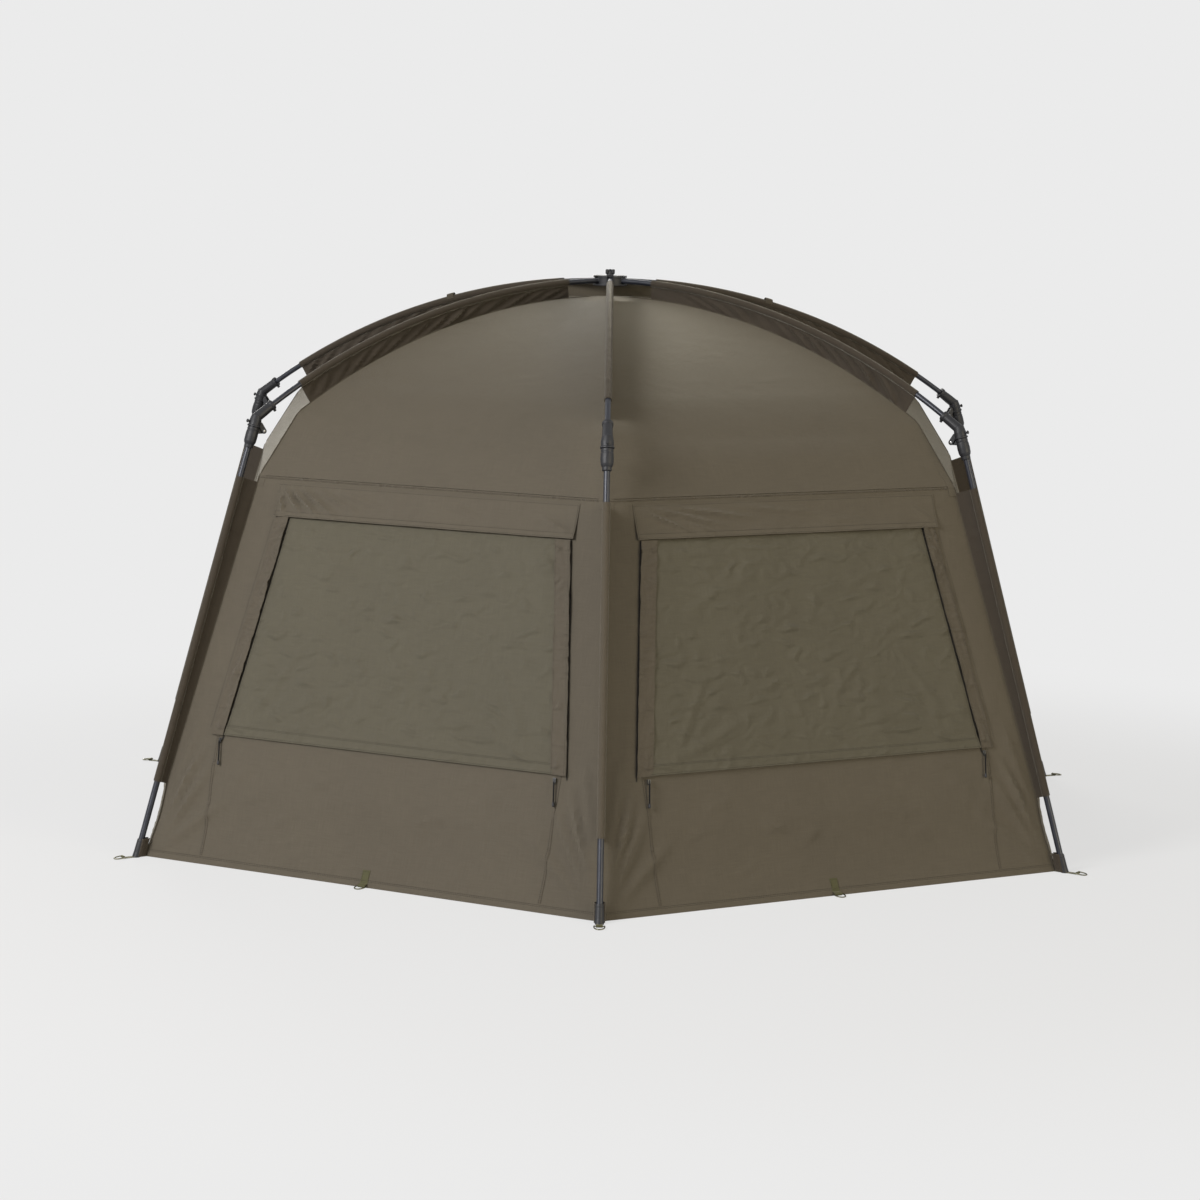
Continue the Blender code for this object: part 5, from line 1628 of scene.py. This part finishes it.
def makeArchPole(leg, where):
    shape = Shape()
    path = [inLeg(onArc(d, poleArc)) for d in spread(shelter["pin"].x, 60, mouth.x - 0.001)]
    path += [inLeg(mouth), inLeg(mouth - upPole * elbow["socketGrip"])]
    tube(shape, path, poleForm["archRadius"], 24, xWay)
    lathe(shape, fillet(poleForm["eye"], poleForm["eyeRound"]), inLeg(shelter["pin"]), xWay, 28)
    nodes = [f"upper_pole_{leg}"]
    makePiece(f"arch_pole_{leg}", shape, "coatedPole", f"upper_leg_{leg}", nodes, "coated_pole", where)


def makeElbow(leg, where):
    down, corner, play = legWay(downLeg), inLeg(elbowCorner), elbow["play"]
    shape, top, radius = Shape(), shelter["elbowRise"] - play, elbowTop["collarRadius"]
    collar = fillet([*elbowTop["collar"], (radius, top), (0.0, top)], elbowTop["collarRound"])
    lathe(shape, collar, corner, down, 48, ribs(*elbowTop["collarRibs"]))
    socket = fillet(elbowTop["socket"], elbow["round"])
    lathe(shape, socket, corner, legWay(upPole), 48, ribs(*elbowTop["socketRibs"]))
    ball = [(elbow["ball"] * math.sin(t), -elbow["ball"] * math.cos(t)) for t in spread(0.0, 14, math.pi)]
    lathe(shape, ball, corner, down, 32)
    under = Vector((-upPole.y, upPole.x))
    boss, spot = fillet(elbowTop["boss"], elbowTop["bossRound"]), mouth - upPole * elbowTop["bossAt"]
    lathe(shape, boss, inLeg(spot), legWay(under), 20)
    lug = [aroundHinge(turn, elbowTop["lugRound"]) for turn in range(290, 125, -10)]
    lug += [inElbow(*point) for point in elbowTop["lug"]]
    for low in (-elbow["lugHalf"], elbow["earHalf"] + play):
        plate(shape, lug, low, low + elbow["lugHalf"] - elbow["earHalf"] - play)
    lower, nodes = f"lower_leg_{leg}", [f"elbow_upper_{leg}"]
    plastic = ("charcoal_plastic", where, elbow["bevel"])
    makePiece(f"elbow_top_{leg}", shape, "mouldedPlastic", f"upper_leg_{leg}", nodes, *plastic)

    shape, nodes = Shape(), [f"elbow_lower_{leg}"]
    barrel = fillet(elbowFoot["barrel"], elbow["round"])
    lathe(shape, barrel, inLeg(shelter["split"]), down, 48, ribs(*elbowFoot["barrelRibs"]))
    ear = [aroundHinge(turn, elbowFoot["earRound"]) for turn in range(90, 255, 10)]
    ear += [inElbow(*point) for point in elbowFoot["ear"]]
    plate(shape, ear, -elbow["earHalf"], elbow["earHalf"])
    makePiece(f"elbow_foot_{leg}", shape, "mouldedPlastic", lower, nodes, *plastic)
    shape = Shape()
    rivet = elbowFoot["rivet"] + [(r, -z) for r, z in reversed(elbowFoot["rivet"])]
    lathe(shape, rivet, inLeg(hinge), xWay, 20)
    makePiece(f"elbow_rivet_{leg}", shape, "pinSteel", lower, where=where)


def makeButton(leg, where):
    shape, spot = Shape(), inLeg(inElbow(0.0, -buttonForm["height"]))
    head = fillet(buttonForm["head"], buttonForm["round"])
    lathe(shape, head, spot, legWay(outOfLeg), 24, ribs(*buttonForm["ribs"]))
    nodes = [f"release_button_{leg}"]
    makePiece(f"button_head_{leg}", shape, "mouldedPlastic", f"button_{leg}", nodes, where=where)


def makeLegPole(leg, where):
    lower, down, radius = f"lower_leg_{leg}", legWay(downLeg), poleForm["legRadius"]
    start = inElbow(0.0, poleForm["legStart"])
    length = (shelter["foot"] - start).length - poleForm["legShort"]
    shape = Shape()
    lathe(shape, [(0.0, 0.0), (radius, 0.0), (radius, length), (0.0, length)], inLeg(start), down, 28)
    makePiece(f"leg_pole_{leg}", shape, "coatedPole", lower, [f"lower_pole_{leg}"], "coated_pole", where)
    shape, spot = Shape(), inLeg(shelter["foot"] - downLeg * footForm["shoeRise"])
    shoe = fillet(footForm["shoe"], footForm["shoeRound"])
    lathe(shape, shoe, spot, down, 36, ribs(*footForm["shoeRibs"]))
    for point in shape.points:
        point.z = max(point.z, 0.0)
    makePiece(f"foot_cap_{leg}", shape, "mouldedPlastic", lower, slot="charcoal_plastic", where=where)


def makeFootStrap(leg, where):
    # Webbing from the canopy's corner, under the foot and round the ring's bar
    lower, foot = f"lower_leg_{leg}", shelter["foot"]
    centre = Vector((foot.x + footForm["ringReach"], pegRing["height"]))
    line = []
    for r in spread(shelter["hem"].x - footForm["strapInside"], 6, centre.x - 0.002):
        line.append((inLeg(Vector((r, footForm["strapHeight"]))), upWay))
    for i in range(12):
        turn = math.radians(-70 + 26 * i)
        way = Vector((math.cos(turn), math.sin(turn)))
        line.append((inLeg(centre + way * pegRing["bend"]), legWay(-way)))
    strap = webbingBand(line, footForm["strapHalf"], footForm["strapCrown"])
    pocket = Shape()
    for side in (-1, 1):
        rings = []
        for z in spread(footForm["pocketFoot"], 8, footForm["pocketTop"]):
            middle = foot - downLeg * (z / -downLeg.y)
            inner = max(wallCorner(z).x - footForm["pocketOver"], middle.x - footForm["pocketReach"])
            ring = []
            for q, away in footForm["pocket"]:
                r = inner + (middle.x + 0.002 - inner) * q
                ring.append((r, side * (footForm["pocketHalf"] + footForm["pocketBulge"] * away)))
            thick = [(r, x + side * footForm["pocketCloth"]) for r, x in reversed(ring)]
            rings.append([Vector((x, -r, z)) for r, x in ring + thick])
        loops(pocket, rings)
    makePiece(f"foot_strap_{leg}", strap, "webbing", lower, where=where)
    makePiece(f"foot_pocket_{leg}", pocket, "sleeveClothPaintedShade", lower, where=where)
    bar, nodes = where @ Matrix.Translation(inLeg(centre)), [f"peg_ring_{leg}"]
    makePiece(f"foot_ring_wire_{leg}", makeRing(), "ringSteel", f"foot_ring_{leg}", nodes, "ring_steel", bar)


def makeRing():
    shape, half, reach, count = Shape(), pegRing["half"], pegRing["reach"], pegRing["steps"]
    tilt = math.asin((pegRing["height"] - pegRing["wire"]) / reach)
    outward = Vector((0.0, -math.cos(tilt), -math.sin(tilt)))
    normal = Vector((0.0, -math.sin(tilt), math.cos(tilt)))
    path = [xWay * x for x in spread(-half, 6, half)]
    for i in range(1, count):
        turn = math.pi * i / count
        path.append(xWay * (half * math.cos(turn)) + outward * (reach * math.sin(turn) ** 0.7))
    tube(shape, path, pegRing["wire"], 12, normal, True)
    return shape


# Fabric sleeves with fins that hang the canopy from the poles
sleeve = {
    "start": 0.124,
    "end": 0.858,
    "top": 0.868,
    "foot": 0.172,
    "cloth": 0.0015,
    "finHalf": 0.0012,
    "highBore": 0.0071,
    "lowBore": 0.0076,
    "foldLength": 0.056,
    "foldSlant": 0.080,
    "foldDepth": 0.0085,
    "foldDrift": 3.5,
    "foldMean": 0.55,
    "foldSwing": 0.7,
    "foldSteep": 0.55,  # each fold is steeper on its lower side
    "foldFade": 0.04,
    "waveDepth": 0.0030,
    "lowWave": (0.0022, 7.0, 3.0),
    "lowCrumple": (0.0012, 14.0, 16.0),
    "lowFade": 0.03,
    "seamGap": 0.0003,
    "threadRadius": 0.0086,
    "threadRows": (0.004, 0.011),
    "finStitch": {"pitch": 0.0055, "length": 0.0036, "width": 0.0007, "rise": 0.0003},
    "highWrap": 0.050,  # flat width of the part round the pole
    "lowWrap": 0.052,
}
tapeForm = {
    "ridge": 0.0022,  # radii
    "corner": 0.0020,
    "ridgeStart": 0.06,
    "ridgeShort": 0.004,
    "ridgeLift": 0.0004,
    "cornerFoot": 0.003,
    "cornerShort": 0.002,
    "cornerLift": 0.0006,
}


def reachToArc(start, way, arc):
    offset = start - Vector((0.0, arc[0]))
    along = offset.dot(way)
    return -along - math.sqrt(along ** 2 - offset.length_squared + arc[1] ** 2)


def finSection(centre, inward, reach, offsetAt, bore):
    outerRadius = bore + sleeve["cloth"]
    lean = math.asin(sleeve["finHalf"] / outerRadius)
    outer, inner = [], []
    for i in range(19):
        turn = lean + (math.tau - 2 * lean) * i / 18
        way = inward * math.cos(turn) + xWay * math.sin(turn)
        outer.append(centre + way * outerRadius)
        inner.append(centre + way * bore)
    shares = [0.1, 0.22, 0.36, 0.5, 0.64, 0.78, 0.9, 1.0]
    sides = [(q, -sleeve["finHalf"]) for q in shares] + [(q, sleeve["finHalf"]) for q in reversed(shares)]
    for k, (q, half) in enumerate(sides):
        depth = outerRadius * 0.9 + (reach - outerRadius * 0.9) * q
        outer.append(centre + inward * depth + xWay * (half + offsetAt(q)))
        turn = lean * (1 - 2 * (k + 1) / (len(sides) + 1))
        inner.append(centre + (inward * math.cos(turn) - xWay * math.sin(turn)) * bore)
    return outer, inner


def sleeveShape(sections, lengths):
    shape = Shape()
    count, span = len(sections[0][0]), len(sections)
    points = [p for s in sections for p in s[0]] + [p for s in sections for p in s[1]]
    faces = []
    for k in range(span - 1):
        for i in range(count):
            j = (i + 1) % count
            a, b, c, d = k * count + i, k * count + j, (k + 1) * count + j, (k + 1) * count + i
            faces.append((a, b, c, d))
            faces.append(tuple(span * count + x for x in (d, c, b, a)))
    for k in (0, span - 1):
        for i in range(count):
            j = (i + 1) % count
            a, b = k * count + i, k * count + j
            faces.append((a, b, span * count + b, span * count + a))
    uvs = [(0.004 * i, lengths[k]) for k in range(span) for i in range(count)] * 2
    shape.add(points, faces, uvs)
    return shape


def towardsCentre(point):
    return (Vector((0.0, poleArc[0])) - point).normalized()


def makeHighSleeve(leg, seed, where):
    upper = f"upper_leg_{leg}"
    sections, lengths, away = [], [], []
    last, gone = None, 0.0
    for d in spread(sleeve["start"], 130, sleeve["end"]):
        point = onArc(d, poleArc)
        gone += (point - last).length if last else 0.0
        last = point
        way = towardsCentre(point)
        reach = reachToArc(point, way, ridgeArc) - sleeve["seamGap"]
        share = (d - sleeve["start"]) / (sleeve["end"] - sleeve["start"])

        def offset(q, gone=gone, share=share):
            wave = sleeve["waveDepth"] * math.sin(math.tau * 3 * share) * math.sin(math.pi * share)
            slant = gone - sleeve["foldSlant"] * q
            turn = math.tau * slant / sleeve["foldLength"]
            turn += sleeve["foldDrift"] * soft(slant, q, seed, 5.0, 1.0)
            strength = sleeve["foldMean"] + sleeve["foldSwing"] * soft(slant, 0.0, seed + 4, 9.0)
            fold = math.sin(turn + sleeve["foldSteep"] * math.sin(turn))
            ends = min(1.0, share / sleeve["foldFade"], (1 - share) / sleeve["foldFade"])
            small = sleeve["foldDepth"] * strength * fold * ends
            return wave * math.sin(math.pi * q) + small * math.sin(math.pi * min(1.0, q * 1.02)) ** 0.6

        sections.append(finSection(inLeg(point), legWay(way), reach, offset, sleeve["highBore"]))
        lengths.append(gone)
        away.append(reach)
    shape, nodes = sleeveShape(sections, lengths), [f"upper_sleeve_{leg}"]
    high = makePiece(
        f"leg_sleeve_high_{leg}", shape, "sleeveClothPaintedShade", upper, nodes, "sleeve_fabric", where, sharp=60
    )
    thread = Shape()
    for d, sign in ((sleeve["start"], 1), (sleeve["end"], -1)):
        point = onArc(d, poleArc)
        way = towardsCentre(point)
        along = Vector((-way.y, way.x)) * sign  # from the sleeve's end towards its middle
        for shift in sleeve["threadRows"]:
            path = []
            for turn in spread(0.4, 20, math.tau - 0.4):
                out = legWay(way) * math.cos(turn) + xWay * math.sin(turn)
                path.append((inLeg(point + along * shift) + out * sleeve["threadRadius"], out))
            stitches(thread, path)
    for index, side in ((19, -1), (-1, 1)):
        stitches(thread, [(section[0][index], xWay * side) for section in sections], **sleeve["finStitch"])
    sewn = makePiece(f"sleeve_thread_high_{leg}", thread, "sewingThread", upper, where=where)
    width = sleeve["highWrap"] + sum(away) / len(away)
    declare(high, lengths[-1], width, None, [sewn])


def makeLowSleeve(leg, seed, where):
    corner = (wallCorner(seamTop) - shelter["hem"]).normalized()
    cornerNormal = Vector((corner.y, -corner.x))
    sections, lengths, away = [], [], []
    for z in spread(sleeve["top"], 90, sleeve["foot"]):
        point = shelter["split"] + downLeg * ((shelter["split"].y - z) / -downLeg.y)
        reach = (point - shelter["hem"]).dot(cornerNormal) / outOfLeg.dot(cornerNormal) - sleeve["seamGap"]
        share = (sleeve["top"] - z) / (sleeve["top"] - sleeve["foot"])

        def offset(q, z=z, share=share):
            wave = waved(sleeve["lowWave"], z, q * 0.1, seed + 8)
            wave += crushed(sleeve["lowCrumple"], q * 0.06, z, seed + 9)
            ends = min(1.0, share / sleeve["lowFade"], (1 - share) / sleeve["lowFade"])
            return wave * math.sin(math.pi * q) ** 0.7 * ends

        sections.append(finSection(inLeg(point), legWay(-outOfLeg), reach, offset, sleeve["lowBore"]))
        lengths.append(sleeve["top"] - z)
        away.append(reach)
    shape, nodes = sleeveShape(sections, lengths), [f"lower_sleeve_{leg}"]
    finish = "rearSleevePaintedLight" if leg == "rear" else "sleeveClothPaintedShade"  # the near pole's sleeve gets a paler copy of the sleeve cloth: painted light
    low = makePiece(
        f"leg_sleeve_low_{leg}", shape, finish, f"lower_leg_{leg}", nodes, "sleeve_fabric", where, sharp=60
    )
    declare(low, lengths[-1], sleeve["lowWrap"] + sum(away) / len(away))


def makeLegTapes(leg, where):
    # Taped joins between neighbouring panels: under the arch pole and under the leg pole
    stops = spread(tapeForm["ridgeStart"], 70, shelter["seam"].x - tapeForm["ridgeShort"])
    ridge = [inLeg(ridgePoint(d) + Vector((0.0, tapeForm["ridgeLift"]))) for d in stops]
    stops = spread(tapeForm["cornerFoot"], 70, seamTop - tapeForm["cornerShort"])
    corner = [inLeg(wallCorner(z) + Vector((tapeForm["cornerLift"], 0.0))) for z in stops]
    for word, path, part in (("ridge", ridge, "upper"), ("corner", corner, "lower")):
        shape = Shape()
        tube(shape, path, tapeForm[word], 8, xWay)
        makePiece(f"{word}_tape_{leg}", shape, "seamTape", f"{part}_leg_{leg}", where=where)


cornerPatch = {
    "width": 0.018,
    "cloth": 0.0009,
    "lift": 0.0007,
    "foot": 0.848,  # heights on the wall
    "top": 0.8692,
    "from": 0.9612,  # distances on the roof
    "to": 0.938,
}


def makeCornerPatches(leg):
    angle, width = legs[leg], cornerPatch["width"]
    rows = [("wall", z) for z in spread(cornerPatch["foot"], 4, cornerPatch["top"])]
    rows += [("roof", d) for d in spread(cornerPatch["from"], 5, cornerPatch["to"])]
    for key, panel in walls.items():
        for side in (-1, 1):
            away = (panel.angle + side * panel.half - angle + math.pi) % math.tau - math.pi
            if abs(away) > 0.01:
                continue

            def at(q, k, panel=panel, side=side):
                where, value = rows[k]
                if where == "wall":
                    return panel.at(side * (panel.edge(value) - width * q), value, cornerPatch["lift"])
                half = ridgePoint(value).x * math.sin(panel.half)
                return panel.roofAt(side * (1 - width * q / half), value, cornerPatch["lift"])[0]

            shape, ks = Shape(), list(range(len(rows)))
            flat, depth = lambda q, k: (q * width, k * 0.007), cornerPatch["cloth"]
            cloth(shape, spread(0.0, 5, 1.0), ks, at, depth, None, flat)
            patch = makePiece(f"corner_patch_{leg}_{key}", shape, "canopyCloth", None, where=panel.frame)
            low = place(angle) @ inLeg(wallCorner(cornerPatch["foot"]))
            high = place(angle) @ inLeg(ridgePoint(cornerPatch["to"]))
            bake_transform(patch)


hubBand = {
    "inset": 0.006,
    "bow": 0.004,
    "wave": 0.0022,
    "waveScale": (4.0, 1.0),
    "cloth": 0.0010,
    "lowGap": 0.0006,
    "highGap": 0.001,
    "width": 0.034,
}


def makeHubBand():
    ends = []  # a stretched band joins the fins of the two front legs behind the hub, sewn in the middle
    for leg in ("front_left", "front_right"):
        start = inLeg(Vector((sleeve["start"] + hubBand["inset"], 0.0)))
        ends.append(Matrix.Rotation(legs[leg], 3, "Z") @ start)

    def at(u, v):
        spot = ends[0].lerp(ends[1], (u + 1) / 2)
        spot.y += hubBand["bow"] + hubBand["bow"] * (1 - u * u)
        reach = math.hypot(spot.x, spot.y)
        low = ridgePoint(reach).y - hubBand["lowGap"]
        high = onArc(sleeve["start"], poleArc).y - hubBand["highGap"]
        spot.y += hubBand["wave"] * math.sin(math.pi * v) * soft(u + v * 0.6, v, 71, *hubBand["waveScale"])
        return Vector((spot.x, spot.y, low + (high - low) * v))

    for leg, near, far in (("front_left", -1.0, 0.0), ("front_right", 0.0, 1.0)):
        shape, us, vs = Shape(), spread(near, 24, far), spread(0.0, 8, 1.0)
        cloth(shape, us, vs, at, hubBand["cloth"], None, lambda u, v: (u * 0.12, v * 0.04))
        band = makePiece(f"hub_band_{leg}", shape, "canopyCloth", f"upper_leg_{leg}", where=place(0.0))
        length = (ends[0] - ends[1]).length / 2
        declare(band, length, hubBand["width"])


def makePoleTab(leg, where):
    point = onArc(poleForm["tabAt"], poleArc)
    way = -towardsCentre(point)
    along = legWay(Vector((way.y, -way.x)))
    rings = []
    for turn in spread(-poleForm["tabTurn"], 16, poleForm["tabTurn"]):
        out = legWay(way) * math.cos(turn) + xWay * math.sin(turn)
        rise = poleForm["tabReach"] + poleForm["tabBulge"] * math.cos(turn) ** 4
        middle = inLeg(point) + out * rise
        rings.append([middle + along * x + out * y for x, y in poleForm["tab"]])
    shape = Shape()
    loops(shape, rings)
    makePiece(f"pole_tab_{leg}", shape, "seamTape", f"upper_leg_{leg}", where=where)


for i, leg in enumerate(legs):
    where, seed = place(legs[leg]), 31 + i
    for make in (makeArchPole, makeElbow, makeButton, makeLegPole, makeFootStrap):
        make(leg, where)
    makeHighSleeve(leg, seed, where)
    makeLowSleeve(leg, seed, where)
    makeLegTapes(leg, where)
    makeCornerPatches(leg)
    if leg.startswith("front"):
        makePoleTab(leg, where)
makeHubBand()
print("legs made")


# Hem rings of the rear walls
for key in ("rear_left", "rear_right"):
    panel, body, nodes = walls[key], f"hem_ring_{key}", [f"peg_ring_{key}"]
    spot = Matrix.Translation((0.0, -panel.distance(0.0) - hemTab["reach"], pegRing["height"]))
    spot = panel.frame @ spot
    wire = makePiece(f"hem_ring_wire_{key}", makeRing(), "ringSteel", body, nodes, "ring_steel", spot)
    foldWith([wire], panel.foldWay(panel.holder))


# Hub
hub = {
    "radius": 0.0415,
    "slotHalf": 0.0072,
    "slotBack": 0.0234,
    "coreRadius": 0.0385,
    "poleRadius": 0.0065,
    "plate": 0.005,
    "play": 0.0003,
    "topPlay": 0.0012,
    "capDisc": [(0.0, 0.0), (0.0175, 0.0), (0.0165, 0.0014), (0.0, 0.0014)],
    "pin": [(0.0, -0.0105), (0.002, -0.0105), (0.002, 0.0105), (0.0, 0.0105)],
    "knob": [
        (0.0, 0.0), (0.0092, 0.0), (0.0085, 0.0030), (0.0070, 0.0060), (0.0070, 0.0085), (0.0045, 0.0105),
        (0.0, 0.0105),
    ],
    "lobe": [(0.0, 0.0), (0.0030, 0.0), (0.0042, 0.0028), (0.0042, 0.0105), (0.0028, 0.0120), (0.0, 0.0120)],
    "lobeReach": 0.0085,
    "lobeRise": 0.003,
    "capTop": 0.0053,  # heights over the core
    "discFoot": 0.0045,
    "overlap": 0.0005,
    "rounds": {"disc": 0.0012, "capDisc": 0.0005, "pin": 0.0004, "knob": 0.0008, "lobe": 0.0009},
    "bevels": (0.0006, 0.0009),
}


def slotted(size):
    turns = sorted(a % math.tau for a in legs.values())
    side, back = hub["slotHalf"], hub["slotBack"]
    half = math.asin(side / size)
    outline = []
    slot = ((-side, size * math.cos(half)), (-side, back), (side, back), (side, size * math.cos(half)))
    for i, turn in enumerate(turns):
        following = turns[(i + 1) % len(turns)] + (math.tau if i == len(turns) - 1 else 0.0)
        outline += [Matrix.Rotation(turn, 2) @ Vector((x, -y)) for x, y in slot]
        for t in spread(turn + half, 12, following - half)[1:-1]:
            outline.append(Vector((size * math.sin(t), -size * math.cos(t))))
    return outline


def flatPlate(shape, outline, low, high):
    loops(shape, [[Vector((p.x, p.y, z)) for p in outline] for z in (low, high)])


def makeHub():
    radius, play = hub["radius"], hub["play"]
    floor = onArc(radius, poleArc).y - hub["poleRadius"] - play
    bottom, ceiling = floor - hub["plate"], shelter["pin"].y + hub["poleRadius"] + hub["topPlay"]
    where, rounds = place(0.0), hub["rounds"]
    shape = Shape()
    disc = fillet([(0.0, bottom), (radius, bottom), (radius, floor), (0.0, floor)], rounds["disc"])
    lathe(shape, disc, Vector(), upWay, 72)
    flatPlate(shape, slotted(hub["coreRadius"]), floor - hub["overlap"], ceiling)
    plastic, (fine, broad) = ("charcoal_plastic", where), hub["bevels"]
    makePiece("hub_spool", shape, "mouldedPlastic", "root", ["hub_base"], *plastic, fine)
    shape = Shape()
    flatPlate(shape, slotted(radius), ceiling + play, ceiling + hub["capTop"])
    disc, discFoot = fillet(hub["capDisc"], rounds["capDisc"]), upWay * (ceiling + hub["discFoot"])
    lathe(shape, disc, discFoot, upWay, 48)
    makePiece("hub_plate", shape, "mouldedPlastic", "root", ["hub_top"], *plastic, broad)
    shape = Shape()
    for angle in legs.values():
        turn = Matrix.Rotation(angle, 3, "Z")
        lathe(shape, fillet(hub["pin"], rounds["pin"]), turn @ inLeg(shelter["pin"]), turn @ xWay, 16)
    makePiece("hub_pins", shape, "pinSteel", "root", where=where)
    shape, foot = Shape(), ceiling + hub["capTop"] + play
    lathe(shape, fillet(hub["knob"], rounds["knob"]), upWay * foot, upWay, 32)
    for i in range(3):
        turn = Matrix.Rotation(math.tau * i / 3, 3, "Z")
        spot = turn @ Vector((0.0, hub["lobeReach"], 0.0)) + upWay * (foot + hub["lobeRise"])
        lathe(shape, fillet(hub["lobe"], rounds["lobe"]), spot, upWay, 24)
    makePiece("hub_star_knob", shape, "mouldedPlastic", "root", ["hub_knob"], *plastic)


makeHub()
print("hub made")
